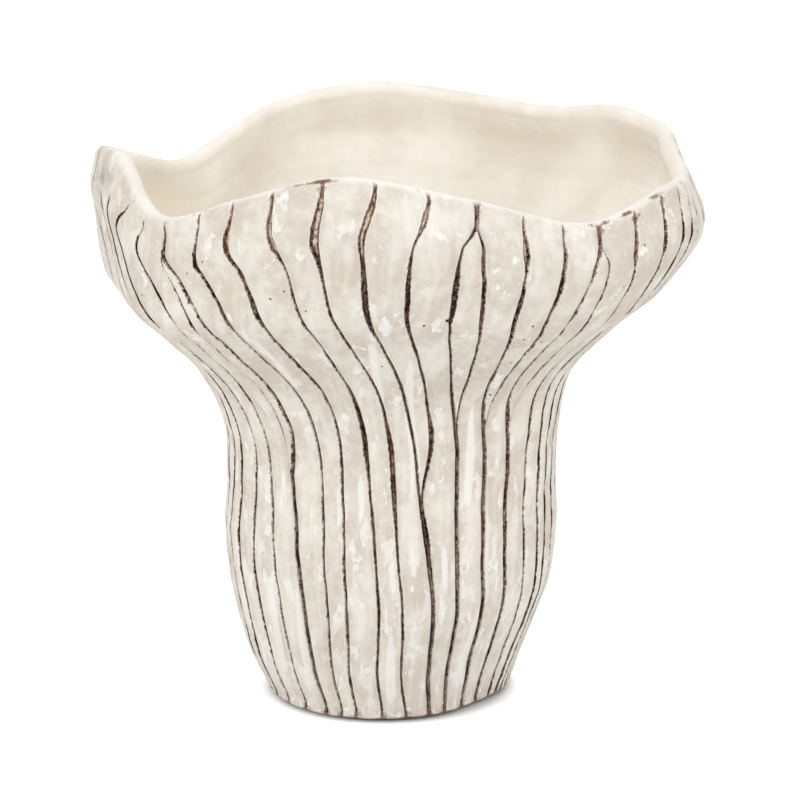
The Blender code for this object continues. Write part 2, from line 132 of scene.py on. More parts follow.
# Where two grooves run together: number of the left one, level where they meet, levels over which they part,
# upwards or, where negative, downwards, and the share of the gap by which the joined groove leaves the left
# one's route
JUNCTIONS = (
    (4, 4.2, 1.3, 0), (4, 10.3, -1.3, 0), (10, 3.9, 1.5, 0), (12, 5.3, 1.1, 0), (12, 10.75, -0.9, 0.5),
    (14, 5.2, 1.1, 0), (16, 5.2, 1.1, 0), (16, 10.75, -0.9, 0.2), (25, 3.2, 3.5, 0.5), (31, 1.9, 3.5, 0.5),
    (38, 3.8, 3.5, 0.5),
)

# Grooves behind: how many, degrees by which they swirl at ROUTE_LEVELS, how many from either end ease into
# that swirl, and how many degrees the hand wanders
BACK_GROOVES = 20
BACK_SWIRL = (0, 0.5, 1, 3, 5, 8, 9.5, 11, 12.5)
BACK_SETTLE = 4
BACK_WANDER = 1
BACK_SEED = 11

# A route is the mean of its curve at these steps of level round a place
EASING_LEVELS = (-0.4, -0.2, 0, 0.2, 0.4)

# The routes are as seen from the front on the uncarved form, so a floor this deep lies further round on
# either side. This fades out between the SIGHTED_TO azimuths
SIGHTED_DEPTH = 4 * MM
SIGHTED_TO = (60, 85)
CLOSED_RIB = 0.8 * MM

# A groove's cut has a rim of CUT_RIM either side of its floor. The floor is a line, or opens by OPENING
# millimetres where the tool wavered, and along the torn stretches. The pigment's line lies in the corner of
# floor and wall. It has its half width in millimetres at LINE_LEVELS, with a share by which it varies
CUT_RIM = 0.75 * MM
OPENING = 0.3
OPENING_KNOTS = 0.6
LINE_LEVELS = (0, 1.5, 3.5, 5.2, 6.6, 8.2, 9.3, 10.3, 11)
LINE_WEIGHTS = (0.42, 0.45, 0.45, 0.5, 0.56, 0.54, 0.45, 0.38, 0.25)
LINE_SPREAD = 0.4
LINE_KNOTS = 0.4

# Fitted to the photograph's one view, where the ribs hid the lines at the sides: azimuth and factor on the
# line's width, then azimuth and share of the ribs' crown and the grooves' depth. Towards the sides the wider
# line also covers the grooves' walls, as painted shade
LINE_AND_SHADE_ROUND = (
    (-180, 1.2), (-120, 1.3), (-100, 1.8), (-85, 2.5), (-74, 2.4), (-64, 1.9), (-54, 1.4), (-44, 1.15),
    (-30, 1), (0, 1), (30, 1), (44, 1.15), (54, 1.4), (64, 1.9), (74, 2.4), (85, 2.5), (100, 1.8), (120, 1.3),
)
RELIEF_ROUND = (
    (-180, 0.8), (-120, 0.7), (-100, 0.5), (-85, 0.4), (-72, 0.4), (-60, 0.6), (-48, 0.9), (-36, 1), (0, 1),
    (36, 1), (48, 0.9), (60, 0.6), (72, 0.4), (85, 0.4), (100, 0.5), (120, 0.7),
)

# The hand's drift off the route, with its knots' spacing in levels, and the seed of all the carving
GROOVE_DRIFT = 0.22 * MM
DRIFT_LEVELS = 0.28
CARVING_SEED = 5

# Torn stretches in front: groove, from level, to level, millimetres by which the floor opens either side
TORN = (
    (3, 8.8, 10.8, 0.3), (4, 8.8, 10.9, 0.5), (6, 8.6, 10.9, 0.5), (7, 9.1, 11.1, 1.1), (7, 7.4, 9.9, 0.7),
    (8, 8.9, 11.2, 1.0), (8, 4.2, 6.4, 0.6), (9, 8.6, 11.2, 1.7), (9, 3.4, 6.0, 0.7), (10, 8.7, 11.3, 1.2),
    (10, 7.2, 9.2, 0.8), (11, 9.7, 11.3, 1.1), (11, 7.4, 9.4, 0.5), (11, 4.0, 6.2, 0.5), (12, 7.8, 9.6, 0.6),
    (13, 7.6, 10.2, 0.5), (14, 9.2, 11, 1.1), (14, 7.7, 9.4, 0.4), (15, 8.4, 11, 0.5), (17, 7.2, 8.8, 0.4),
    (18, 9.2, 11, 1), (19, 9, 11, 0.7), (5, 3.9, 4.9, 0.6), (11, 2.6, 4.1, 0.6), (16, 2.4, 5.4, 0.5),
    (21, 8.5, 10.6, 0.6),
)
TORN_ENDS = 0.9

# The seeded torn stretches behind: how many, and ranges of their lowest level, length in levels and opening
TORN_BEHIND = 26
TORN_LOWEST = (7.2, 9.6)
TORN_REACH = (0.5, 1.7)
TORN_MORE = (0.4, 1.5)

# Stretches in front where the line is heavier: groove, from level, to level, millimetres on either side
HEAVY = (
    (0, 6.8, 10.4, 0.4), (1, 7.4, 10.3, 0.4), (2, 7.6, 10.6, 0.45), (3, 7.8, 10.8, 0.5), (4, 7.2, 11, 0.3),
    (6, 7.5, 10.8, 0.35), (7, 7.0, 8.8, 0.1), (8, 4.4, 6.2, 0.1), (9, 8.2, 10.6, 0.25), (10, 7.4, 9.6, 0.1),
    (11, 7.3, 9.4, 0.3), (12, 7.6, 9.7, 0.2), (13, 7.4, 9.3, 0.2), (14, 8, 10.7, 0.2), (15, 8, 10.6, 0.15),
    (5, 2.3, 4.8, 0.2), (10, 2.2, 4.3, 0.25), (11, 2.2, 4.3, 0.25), (22, 6.5, 9.5, 0.1), (12, 3.2, 5.2, 0.15),
    (20, 9.0, 10.8, 0.25),
)

# Where brown pigment was left as a halo round a groove: groove, from level, to level, and share elsewhere
HALOS = (
    (3, 8.5, 10.5), (6, 9.5, 11), (7, 8.4, 11.2), (8, 4.7, 6.4), (8, 8.5, 11), (9, 3.6, 6.2), (9, 9.6, 11.3),
    (10, 8.8, 11.2), (11, 4.2, 6.3), (12, 5.4, 6.6), (13, 8.6, 10), (14, 2.4, 4.6), (15, 3.2, 6.4),
    (16, 2.6, 5.6), (18, 9.4, 11), (20, 8, 9.6), (24, 3, 6), (27, 8, 10), (30, 5, 7), (34, 8.6, 10.6),
    (39, 3, 5),
)
HALO_ELSEWHERE = 0.1

# Where grooves start under the lip: azimuth, level by which they fade in, share of their depth at the lip
GROOVE_TOPS = (
    (-180, 11.2, 0.4), (-100, 11.2, 0.5), (-90, 10.9, 0.3), (-84, 10.2, 0), (-74, 10.35, 0), (-61, 11, 0),
    (-53, 11.05, 0), (-44, 11.1, 0.2), (-36, 11.2, 0.4), (30, 11.3, 0.4), (50, 11.3, 0.4), (70, 10.9, 0.3),
    (100, 11.1, 0.4),
)
TOP_FADE_LEVELS = 0.45

# How much pigment was smeared along the lip's outer edge: azimuth, share. It reaches LIP_SMEAR_REACH down the
# wall, and grooves and smears fade over the first LIP_FADE_TURN radians of the lip's round
LIP_SMEARS = (
    (-150, 0.4), (-112, 0.1), (-101, 0.6), (-91, 1), (-85, 0.9), (-80, 0), (-60, 0), (-42, 0.4), (-26, 0.5),
    (-12, 0.75), (-4, 0.3), (10, 0.5), (32, 0.4), (46, 1), (54, 0.9), (62, 0.3), (80, 0.1), (120, 0.4),
)
LIP_SMEAR_REACH = 7 * MM
LIP_DROP = math.hypot(LIP_RISE, BRIM_RADIUS - LIP_RADIUS)
LIP_FADE_TURN = 1.0

# Inside at the back left the wall swells into a fold, azimuth and millimetres, which closes off a shallow
# pocket, azimuth and share of its darker colour, brushed pigment and painted shade. Each lies in its window
# of levels
FOLD = (
    (-180, 0), (-155, 1), (-140, 4), (-131, 7), (-125, 3), (-119, -2), (-106, -1.5), (-96, 0), (0, 0),
    (100, 0),
)
FOLD_LEVELS = (7.4, 9.4, 10.5, 11)
POCKET = ((-180, 0), (-132, 0), (-127, 0.9), (-116, 1), (-104, 0.8), (-94, 0), (0, 0), (100, 0))
POCKET_LEVELS = (8.2, 9.4, 10.3, 10.9)

# Grey patches outside: azimuth, level, reach in degrees and in levels, share. The strongest, by the ear, is
# painted shade of a dimple
GREY_SHADE_PATCHES = (
    (-81, 10.4, 6, 0.35, 1.3), (-72, 9.6, 5, 0.5, 0.35), (-60, 8.6, 6, 0.6, 0.3), (66, 9.8, 5, 0.6, 0.35),
    (150, 9.4, 8, 0.6, 0.5), (-140, 8.8, 8, 0.6, 0.4),
)

# Thumbed hollows inside: azimuth, level, reach in degrees and in levels, millimetres deep
HOLLOWS = (
    (-168, 10.0, 10, 0.7, 1.6), (156, 9.6, 9, 1.1, 2.2), (123, 9.7, 9, 1.0, 2.2), (137, 9.9, 4, 0.7, -1),
    (-147, 9.2, 7, 1.0, 1.2), (176, 8.7, 9, 0.8, -1.2), (98, 9.8, 7, 0.8, 1.2), (-20, 9, 12, 1, 1.4),
    (40, 8.6, 10, 1.2, 1.6), (70, 9.4, 8, 1, -1.2),
)

# Long brush smears of the wash: azimuth and level of the lower end and of the upper end, width in millimetres
SMEARS = (
    (7.8, 4.6, 7.2, 7.6, 4.5), (-0.8, 6.1, -1.5, 8.4, 4), (-24, 6.4, -30, 8.3, 4), (27, 4.2, 26.5, 6.4, 4),
    (-46, 1.2, -45, 3.2, 5), (33, 0.8, 34, 2.6, 5), (2, 0.6, 0.5, 2.2, 4.5), (-33, 0.9, -33, 3, 4.5),
)

# The trail of a smear or drip fades out over its upper half, and in over a fifth of its length below its
# lower end. A larger TRAIL_EDGE makes it narrower
TRAIL_TOP_FADE = 2
TRAIL_FOOT_FADE = 5
TRAIL_EDGE = 1.6

# Daubs and drips of the wash in front: azimuth, level, length and width in millimetres, levels the drip ran
DAUBS = (
    (-31, 8.18, 4.6, 3, 0), (-19, 6.83, 4.6, 2.8, 0), (20.8, 9.73, 4.6, 2.8, 0.3), (18.8, 8.88, 4, 2.8, 0),
    (-67.8, 4.12, 4.6, 2.8, 0.4), (-47.2, 3.95, 5, 2.4, 0.7), (-40.5, 3.93, 5, 2.4, 0.8),
    (-18, 3.78, 6, 2.8, 0.9), (-26.2, 3.6, 5, 2.4, 0.8), (-10.5, 3.9, 6, 2.8, 1), (-54.8, 2.95, 5, 2.4, 0.6),
    (-12.2, 3.3, 5, 2.4, 0.5),
    (-0.8, 1.83, 5, 2.4, 0.7), (1.2, 2.58, 5, 2.6, 0.8), (7.8, 2.58, 5, 2.4, 0.9), (18.8, 2.08, 9, 2.6, 1.9),
    (35.2, 2.27, 8, 3.4, 2.1), (31.0, 0.95, 5, 2.2, 0.6), (52, 2.9, 5, 2.4, 0.6), (60, 4.4, 5, 2.4, 0.8),
    (-47, 0.22, 3.6, 3.4, 0), (-38, 0.2, 3.2, 5, 0), (-29, 0.2, 3.4, 5.4, 0), (-19, 0.22, 3, 3.4, 0),
    (9, 0.22, 3.2, 3.6, 0), (27, 0.24, 3.2, 3.6, 0), (38, 0.26, 3.2, 3, 0), (52, 0.26, 3, 3, 0),
)

# The seeded daubs behind: how many, and the range of each value of a row
DAUBS_BEHIND = 26
DAUB_RANGES = ((80, 275), (1, 9), (4, 7), (2.2, 3), (0, 1))

# The grooves' depth at the foot as a share of their depth above FOOT_FADE_LEVELS
FOOT_GROOVE_SHARE = 0.3
FOOT_FADE_LEVELS = 0.25

# Pinholes that show in front: azimuth, level, radius in millimetres
PINHOLES = (
    (12.5, 8.12, 1), (8.2, 8, 0.6), (29.5, 8.2, 0.6), (29.8, 7.8, 0.5), (32, 6.1, 0.5), (-55.5, 8.58, 0.5),
    (-65.8, 8.6, 0.45), (-37.5, 9.65, 0.45), (-41.5, 9.35, 0.4), (-22.2, 8.45, 0.45), (-19.8, 8.53, 0.45),
    (-14.8, 8.15, 0.4), (0.8, 6.75, 0.45), (39.5, 10.43, 0.5), (45.2, 8.95, 0.45), (48.5, 10.2, 0.4),
)

# How finely the shell is divided: rows to a level, rows round each edge, and where a rib's columns lie
OUTER_ROWS_A_LEVEL = 14
INNER_ROWS_A_LEVEL = 3.6
LIP_ROWS = 11
FOOT_ROWS = 4
FILLET_ROWS = 5
FLOOR_REACH = (0.85, 0.65, 0.45)
UNDER_REACH = (0.35, 0.6, 0.8, 0.94)
FLOOR_OF_CUT = 0.4
WIDEST_CUT_SHARE = 0.2
EDGE_LOOP = 0.6 * MM
EDGE_LOOP_SHARE = 0.06
RIB_SHARES = (0.3, 0.5, 0.7)
EDGE_COLUMNS = 3
RIB_COLUMNS = 1 + 2 * EDGE_COLUMNS + len(RIB_SHARES)
SLOPE_REACH = 0.05
RELAX_REACH = 2
FLOW_RADIUS = 100 * MM
FULL_RIB = 8 * MM

# A groove's wall lies between these distances past its half width. The tool's chatter, the swells of the
# hand and the small dents are this far apart. At the foot they have this share of their height
CUT_SLOPE = (-0.65 * MM, 0.25 * MM)
CHATTER_SPACING = 7 * MM
SWELL_SPACING = 24 * MM
DENT_SPACING = 8 * MM
PRESSED_FOOT = 0.5

# Pinholes and beads are put where a ray from this far outside the uncarved wall meets the carved one
RAY_LEAD = 5 * MM

# The plug's clearances over its seat and in the drain hole, and its outline in millimetres. The grip is
# radius and drop from the top, the neck is radius and rise over the seat, the flange is inset from the rim
# and rise over the seat, and the stem is inset from its own radius and rise over the bottom
SEAT_CLEARANCE = 0.3 * MM
STEM_CLEARANCE = 0.5 * MM
GRIP = ((0, 0), (2.5, 0), (4.4, 0.25), (5.2, 0.8), (5.5, 1.6), (5.5, 2.9), (5.1, 3.8), (4.2, 4.4), (3.5, 4.9),
        (3.2, 5.6))
NECK = ((3.2, 4), (3.6, 3.3), (4.6, 3))
FLANGE = ((3, 2.8), (1, 2.6), (0.3, 2.1), (0, 1.4), (0, 0.4), (0.3, 0))
STEM = ((0.1, 7), (0.6, 6.6), (0.6, 5.6), (0.2, 5.2), (1, 1), (1.3, 0.3), (2, 0))

# The camera, fitted to the photograph, from the foot's centre
CAMERA_FROM_FOOT = Vector((5 * MM, -2324.6 * MM, 758.66 * MM))
TARGET_FROM_FOOT = Vector((5.9 * MM, 0, 172.3 * MM))
LENS_MM = 186.75
SENSOR_MM = 36

# The lamps: name, place, size, power in watts, and where it stands. They all shine at LIT_POINT
LAMPS = (
    ("key", (-0.35, -2.3, 1.3), 1.2, 16.0, "in front"), ("fill", (1.8, -1.0, 1.1), 1.4, 10.0, "at the right"),
    ("side", (-1.9, -0.7, 1.0), 1.4, 8.5, "at the left"), ("back", (0.3, 2.2, 1.1), 1.4, 7.0, "behind"),
    ("top", (0, 0.2, 2.2), 1.4, 9.5, "over the mouth"),
)
LIT_POINT = Vector((0, 0, 0.18))

# The floor: half its width, how white its paper is, and where past the foot's edge its lift fades in
FLOOR_HALF_WIDTH = 30
PAPER_WHITE = 0.86
FOOT_SHADOW = (-4 * MM, 5 * MM)


def smooth(keys, rows, at):
    """The smooth curve through rows at unevenly spaced keys, read at the given places."""
    rows = np.asarray(rows, float)
    keys = np.asarray(keys, float)
    slopes = np.gradient(rows, keys, axis=0)
    at = np.clip(np.asarray(at, float), keys[0], keys[-1])
    i = np.clip(np.searchsorted(keys, at, side="right") - 1, 0, len(keys) - 2)
    extra = (1,) * (rows.ndim - 1)
    span = (keys[i + 1] - keys[i]).reshape(i.shape + extra)
    t = (at - keys[i]).reshape(i.shape + extra) / span
    ahead = t * t * (3 - 2 * t)
    bends = t * (1 - t) * ((1 - t) * slopes[i] - t * slopes[i + 1]) * span
    return rows[i] * (1 - ahead) + rows[i + 1] * ahead + bends


def smooth_round(waves, azimuth):
    """The smooth closed curve through waves, whose rows start with an azimuth, read at the given azimuths."""
    waves = np.asarray(waves, float)
    turns = np.concatenate([waves, waves, waves])
    turns[:, 0] += np.repeat((-360, 0, 360), len(waves))
    azimuth = (np.asarray(azimuth, float) + 180) % 360 - 180
    return smooth(turns[:, 0], turns[:, 1:], azimuth)


def value_round(waves, azimuth):
    """The first value of smooth_round at the given azimuths."""
    return smooth_round(waves, azimuth)[..., 0]


def degrees_off(azimuth, middle):
    """How far azimuths lie from a middle one, from -180 to 180."""
    return (azimuth - middle + 180) % 360 - 180


def eased(share):
    """0 up to 1 with level ends, for a share from 0 to 1."""
    share = np.clip(share, 0, 1)
    return share * share * (3 - 2 * share)


def wall_stations():
    """Height, radius, lean and wave share of each station of the outer wall, from foot to lip."""
    heights = [0.0]
    radii = [FOOT_RADIUS]
    for share in HEEL_SHARES:
        heights.append(share * BELLY_HEIGHT)
        radii.append(FOOT_RADIUS + (BELLY_RADIUS - FOOT_RADIUS) * math.sin(share * math.pi / 2))
    heights += [BELLY_HEIGHT, WAIST_HEIGHT]
    radii += [BELLY_RADIUS, WAIST_RADIUS]
    for rise, widening in FLARE_SHAPE:
        heights.append(WAIST_HEIGHT + (BRIM_HEIGHT - WAIST_HEIGHT) * rise)
        radii.append(WAIST_RADIUS + (BRIM_RADIUS - WAIST_RADIUS) * widening)
    heights += [BRIM_HEIGHT, BRIM_HEIGHT + LIP_RISE]
    radii += [BRIM_RADIUS, LIP_RADIUS]
    return np.stack([heights, radii, LEAN, WAVE_SHARE], axis=1)


STATIONS = wall_stations()
LEVELS = np.arange(len(STATIONS))
LIP_LEVEL = float(LEVELS[-1])


def section(azimuth, level):
    """Radius, height and lean of the wall without its ribs, at azimuths and levels."""
    azimuth, level = np.broadcast_arrays(np.asarray(azimuth, float), np.asarray(level, float))
    height, radius, lean, share = np.moveaxis(smooth(LEVELS, STATIONS, level), -1, 0)
    out, up = np.moveaxis(smooth_round(MOUTH_WAVES, azimuth), -1, 0)
    foot_out = value_round(FOOT_WAVES, azimuth)
    foot_share = np.clip(1 - level / FOOT_WAVE_LEVELS, 0, 1) ** 2
    radius = radius + out * MM * share + foot_out * MM * foot_share
    turn = np.radians(azimuth)
    lumps = sum(np.sin(waves * turn + drift * level) for waves, drift in LUMP_WAVES) / len(LUMP_WAVES)
    radius = radius + LUMP * lumps * eased(level)
    return radius, UNDERSIDE + height + up * MM * share, lean


def slope(azimuth, level):
    """Outward and upward parts of the unit normal of the wall, in its upright section."""
    low = np.clip(np.asarray(level, float) - SLOPE_REACH, 0, LIP_LEVEL)
    high = np.clip(np.asarray(level, float) + SLOPE_REACH, 0, LIP_LEVEL)
    low_radius, low_height, _ = section(azimuth, low)
    high_radius, high_height, _ = section(azimuth, high)
    along = np.hypot(high_radius - low_radius, high_height - low_height)
    return (high_height - low_height) / along, -(high_radius - low_radius) / along


def place(azimuth, radius, height, lean):
    """Points in the frame from azimuth, radius, height and lean."""
    turn = np.radians(azimuth)
    x = FOOT_CENTRE.x - LEAN[0] + lean + radius * np.sin(turn)
    y = FOOT_CENTRE.y - radius * np.cos(turn)
    return np.stack(np.broadcast_arrays(x, y, height), axis=-1)


def direction(azimuth, outward, upward):
    """Unit vectors from azimuth and their outward and upward parts."""
    turn = np.radians(azimuth)
    return np.stack(np.broadcast_arrays(outward * np.sin(turn), -outward * np.cos(turn), upward), axis=-1)


def groove_table():
    """Azimuths of every groove at ROUTE_LEVELS, in order round the planter from the left."""
    wander = random.Random(BACK_SEED)
    last = np.array(FRONT_GROOVES[-1], float)
    gap = np.array(FRONT_GROOVES[0], float) + 360 - last
    rows = [np.array(row, float) for row in FRONT_GROOVES]
    for number in range(1, BACK_GROOVES + 1):
        between = last + gap * number / (BACK_GROOVES + 1)
        settled = eased(min(number, BACK_GROOVES + 1 - number) / BACK_SETTLE)
        row = between * (1 - settled) + (between[0] + np.array(BACK_SWIRL)) * settled
        rows.append(row + [wander.uniform(-BACK_WANDER, BACK_WANDER) for _ in ROUTE_LEVELS])
    return np.array(rows)


GROOVES = groove_table()
GROOVE_COUNT = len(GROOVES)


def knife_table(spacing, seed):
    """Levels of evenly spaced knots, and a seeded number between -1 and 1 for each groove at each of them."""
    knots = np.arange(0, LIP_LEVEL + 2 * spacing, spacing)
    return knots, np.random.default_rng(seed).uniform(-1, 1, (len(knots), GROOVE_COUNT))


DRIFT = knife_table(DRIFT_LEVELS, CARVING_SEED)
LEFT_OPENING = knife_table(OPENING_KNOTS, CARVING_SEED + 1)
RIGHT_OPENING = knife_table(OPENING_KNOTS, CARVING_SEED + 2)
LEFT_LINE = knife_table(LINE_KNOTS, CARVING_SEED + 3)
RIGHT_LINE = knife_table(LINE_KNOTS, CARVING_SEED + 4)


def groove_azimuths(level):
    """Azimuth of each groove at one level, with the hand's drift and with joined grooves brought together."""
    routes = [smooth(ROUTE_LEVELS[::-1], GROOVES.T[::-1], np.array(level + step)) for step in EASING_LEVELS]
    azimuths = np.mean(routes, axis=0)
    radii = section(azimuths, level)[0]
    aside = np.minimum(np.abs(azimuths), SIGHTED_TO[0])
    fades = eased((SIGHTED_TO[1] - np.abs(azimuths)) / (SIGHTED_TO[1] - SIGHTED_TO[0]))
    sunk = SIGHTED_DEPTH * value_round(RELIEF_ROUND, azimuths) / radii
    azimuths = azimuths + np.degrees(sunk * np.tan(np.radians(aside))) * fades * np.sign(azimuths)
    azimuths = azimuths + np.degrees(GROOVE_DRIFT * smooth(*DRIFT, np.array(level)) / radii)
    for left, meeting, parting, left_share in JUNCTIONS:
        opened = eased((level - meeting) / parting)
        closed_gap = math.degrees(CLOSED_RIB / radii[left])
        full_gap = azimuths[left + 1] - azimuths[left]
        gap = max(full_gap * opened, closed_gap)
        azimuths[left] += (full_gap - gap) * left_share
        azimuths[left + 1] = azimuths[left] + gap
    return azimuths


def torn_stretches():
    """The torn stretches in front, and seeded ones on the grooves that the front doesn't show."""
    pick = np.random.default_rng(CARVING_SEED + 5)
    rows = list(TORN)
    for _ in range(TORN_BEHIND):
        low = pick.uniform(*TORN_LOWEST)
        groove = int(pick.integers(len(FRONT_GROOVES), GROOVE_COUNT))
        rows.append((groove, low, low + pick.uniform(*TORN_REACH), pick.uniform(*TORN_MORE)))
    return rows


TORN_STRETCHES = torn_stretches()


def along_stretch(low, high, level):
    """1 within a stretch of levels, fading to 0 at its ends."""
    return eased((level - low) / TORN_ENDS) * eased((high - level) / TORN_ENDS)


def half_widths(level, wander):
    """Half width of each groove's cut at one level, on the side that the wander table is for."""
    opening = OPENING * np.clip(smooth(*wander, np.array(level)), 0, 1)
    for groove, low, high, more in TORN_STRETCHES:
        opening[groove] += more * along_stretch(low, high, level)
    return CUT_RIM + opening * MM


def line_weights(azimuths, level, wander):
    """Half width of the pigment's line in each groove at one level, on the wander table's side."""
    # Towards the sides the factor widens the line over the grooves' walls, as painted shade
    weight = smooth(LINE_LEVELS, LINE_WEIGHTS, np.array(level)) * value_round(LINE_AND_SHADE_ROUND, azimuths)
    for groove, low, high, more in HEAVY:
        weight[groove] += more * along_stretch(low, high, level)
    return weight * (1 + LINE_SPREAD * smooth(*wander, np.array(level))) * MM


def halo_shares(level):
    """How brown each groove's halo is at one level."""
    shares = np.full(GROOVE_COUNT, HALO_ELSEWHERE)
    for groove, low, high in HALOS:
        shares[groove] += along_stretch(low, high, level)
    return np.minimum(shares, 1)


def window(values, at):
    """0 outside the first and last of four values, 1 between the middle ones."""
    first, full, last_full, last = values
    return eased((at - first) / (full - first)) * eased((last - at) / (last - last_full))


def all_daubs():
    """The daubs and drips in front, and seeded ones where the front doesn't show."""
    pick = np.random.default_rng(CARVING_SEED + 6)
    behind = [tuple(pick.uniform(*ends) for ends in DAUB_RANGES) for _ in range(DAUBS_BEHIND)]
    return [*DAUBS, *behind]


def wash_trails(azimuth, level):
    """How thick the wash lies over the wall along its smears and where drips ran, from 0 to 1."""
    radius = section(azimuth, level)[0]
    trails = np.zeros(azimuth.shape)
    runs = [*SMEARS, *((at, low, at, low + ran, width) for at, low, _, width, ran in all_daubs() if ran)]
    for low_azimuth, low, high_azimuth, high, width in runs:
        share = (level - low) / (high - low)
        if -1 / TRAIL_FOOT_FADE < share < 1:
            middle = low_azimuth + (high_azimuth - low_azimuth) * share
            off = np.radians(degrees_off(azimuth, middle)) * radius / (width * MM)
            ends = eased((1 - share) * TRAIL_TOP_FADE) * eased(share * TRAIL_FOOT_FADE + 1)
            trails = np.maximum(trails, np.exp(-(off * TRAIL_EDGE) ** 2) * ends)
    return trails


def soft_spots(table, azimuth, level):
    """The soft round spot of each row of azimuth, level, reach in degrees and in levels, and amount."""
    for middle, at, degrees, levels, amount in table:
        off = degrees_off(azimuth, middle) / degrees
        yield amount * np.exp(-off ** 2 - ((level - at) / levels) ** 2)


def thumbed(azimuth, level):
    """Depth of the thumbed hollows inside, in millimetres."""
    return sum(soft_spots(HOLLOWS, azimuth, level))


def swelling_inside(azimuth, level):
    """How far the inner wall stands towards the middle of the mouth: the fold, less the thumbed hollows."""
    return (value_round(FOLD, azimuth) * window(FOLD_LEVELS, level) - thumbed(azimuth, level)) * MM


def carving_share(azimuth, level):
    """How deep the grooves are cut: less at the foot and at the sides, and fading out at their tops."""
    top, at_lip = np.moveaxis(smooth_round(GROOVE_TOPS, azimuth), -1, 0)
    at_lip = np.clip(at_lip, 0, 1)
    above_foot = FOOT_GROOVE_SHARE + (1 - FOOT_GROOVE_SHARE) * eased(level / FOOT_FADE_LEVELS)
    relief = value_round(RELIEF_ROUND, azimuth)
    return above_foot * relief * (at_lip + (1 - at_lip) * eased((top - level) / TOP_FADE_LEVELS))


def rib_columns(level):
    """For one level: azimuths of the columns of every rib, and the values that carve and colour them. A rib's
    columns follow its two grooves and stand closest at their edges."""
    start = groove_azimuths(level)
    width = np.append(start[1:], start[0] + 360) - start
    arc = np.radians(width) * section(start, level)[0]
    left = half_widths(level, RIGHT_OPENING)
    right = np.roll(half_widths(level, LEFT_OPENING), -1)
    left_line = line_weights(start, level, RIGHT_LINE)
    right_line = np.roll(line_weights(start, level, LEFT_LINE), -1)
    cuts = []
    for half in (left, right):
        edge = np.minimum(half / arc, WIDEST_CUT_SHARE)
        floor = np.maximum(FLOOR_OF_CUT * edge, edge - CUT_RIM / arc)
        cuts.append((floor, edge, edge + np.minimum(EDGE_LOOP / arc, EDGE_LOOP_SHARE)))
    shares = [np.zeros_like(arc), *cuts[0]]
    shares += [np.full_like(arc, share) for share in RIB_SHARES]
    shares += [1 - cut for cut in reversed(cuts[1])]
    share = np.stack(shares, axis=1)
    azimuth = start[:, None] + share * width[:, None]
    distance = np.minimum(share, 1 - share) * arc[:, None]
    half = np.where(share < 0.5, left[:, None], right[:, None])
    half = np.where(share == 0.5, (left + right)[:, None] / 2, half)
    line = np.where(share < 0.5, left_line[:, None], right_line[:, None])
    rib = np.broadcast_to(arc[:, None] / 2, share.shape).copy()
    rib[:, 0] = (rib[:, 0] + np.roll(rib[:, 0], 1)) / 2
    halos = halo_shares(level)
    halo = np.where(share < 0.5, halos[:, None], np.roll(halos, -1)[:, None])
    values = {"groove_distance": distance, "groove_half_width": half, "rib_half_width": rib,
              "line_weight": line, "halo": halo}
    return azimuth.ravel(), {name: value.ravel() for name, value in values.items()}


def even_columns(level):
    """Azimuths of as many columns, evenly spaced in each rib, with the ribs' own spacing relaxed."""
    starts = groove_azimuths(level)
    even = np.arange(GROOVE_COUNT) * 360 / GROOVE_COUNT
    near = range(-RELAX_REACH, RELAX_REACH + 1)
    starts = even + np.mean([np.roll(starts - even, shift) for shift in near], axis=0)
    width = np.append(starts[1:], starts[0] + 360) - starts
    return (starts[:, None] + np.arange(RIB_COLUMNS) / RIB_COLUMNS * width[:, None]).ravel()


class Rows:
    """The shell's rows of points, each with its outward direction and its named values."""

    NAMES = ("groove_distance", "groove_half_width", "rib_half_width", "line_weight", "halo", "carving",
             "pressed", "inside", "underside", "near_lip", "smear", "trail", "pocket", "hollow", "smudge")

    def __init__(self):
        self.points = []
        self.outward = []
        self.azimuth = []
        self.values = {name: [] for name in self.NAMES}

    def add(self, azimuth, points, outward, **values):
        self.points.append(points)
        self.outward.append(outward)
        self.azimuth.append(azimuth)
        for name in self.NAMES:
            self.values[name].append(np.broadcast_to(values.get(name, 0.0), azimuth.shape))


def level_above_foot_edge():
    """Level at which the rounded foot ends and the wall begins."""
    low = np.linspace(0, 1, 50)
    return float(np.interp(UNDERSIDE + FOOT_EDGE, section(0, low)[1], low))


def outer_rows(rows):
    """Up the outer wall, round the foot's edge first."""
    first = level_above_foot_edge()
    for step in range(FOOT_ROWS):
        turn = math.pi / 2 * (1 - step / FOOT_ROWS)
        azimuth, across = rib_columns(first)
        radius, _, lean = section(azimuth, first)
        points = place(azimuth, radius - FOOT_EDGE * (1 - math.cos(turn)),
                       UNDERSIDE + FOOT_EDGE * (1 - math.sin(turn)), lean)
        # The lower half of the foot's rounded edge takes the underside's raw colour: unwashed concrete, and
        # painted shade under the foot
        rows.add(azimuth, points, direction(azimuth, math.cos(turn), -math.sin(turn)), **across,
                 carving=FOOT_GROOVE_SHARE * math.cos(turn), pressed=PRESSED_FOOT,
                 underside=eased(math.sin(turn) * 1.5 - 0.5))
    count = round((LIP_LEVEL - first) * OUTER_ROWS_A_LEVEL)
    for level in np.linspace(first, LIP_LEVEL, count + 1):
        azimuth, across = rib_columns(level)
        radius, height, lean = section(azimuth, level)
        outward, upward = slope(azimuth, level)
        near_lip = max(0, 1 - (LIP_LEVEL - level) * LIP_DROP / LIP_SMEAR_REACH)
        rows.add(azimuth, place(azimuth, radius, height, lean), direction(azimuth, outward, upward), **across,
                 carving=carving_share(azimuth, level), near_lip=near_lip,
                 pressed=PRESSED_FOOT + (1 - PRESSED_FOOT) * eased(level),
                 smear=np.clip(value_round(LIP_SMEARS, azimuth), 0, 1), trail=wash_trails(azimuth, level),
                 smudge=np.max(list(soft_spots(GREY_SHADE_PATCHES, azimuth, level)), axis=0))


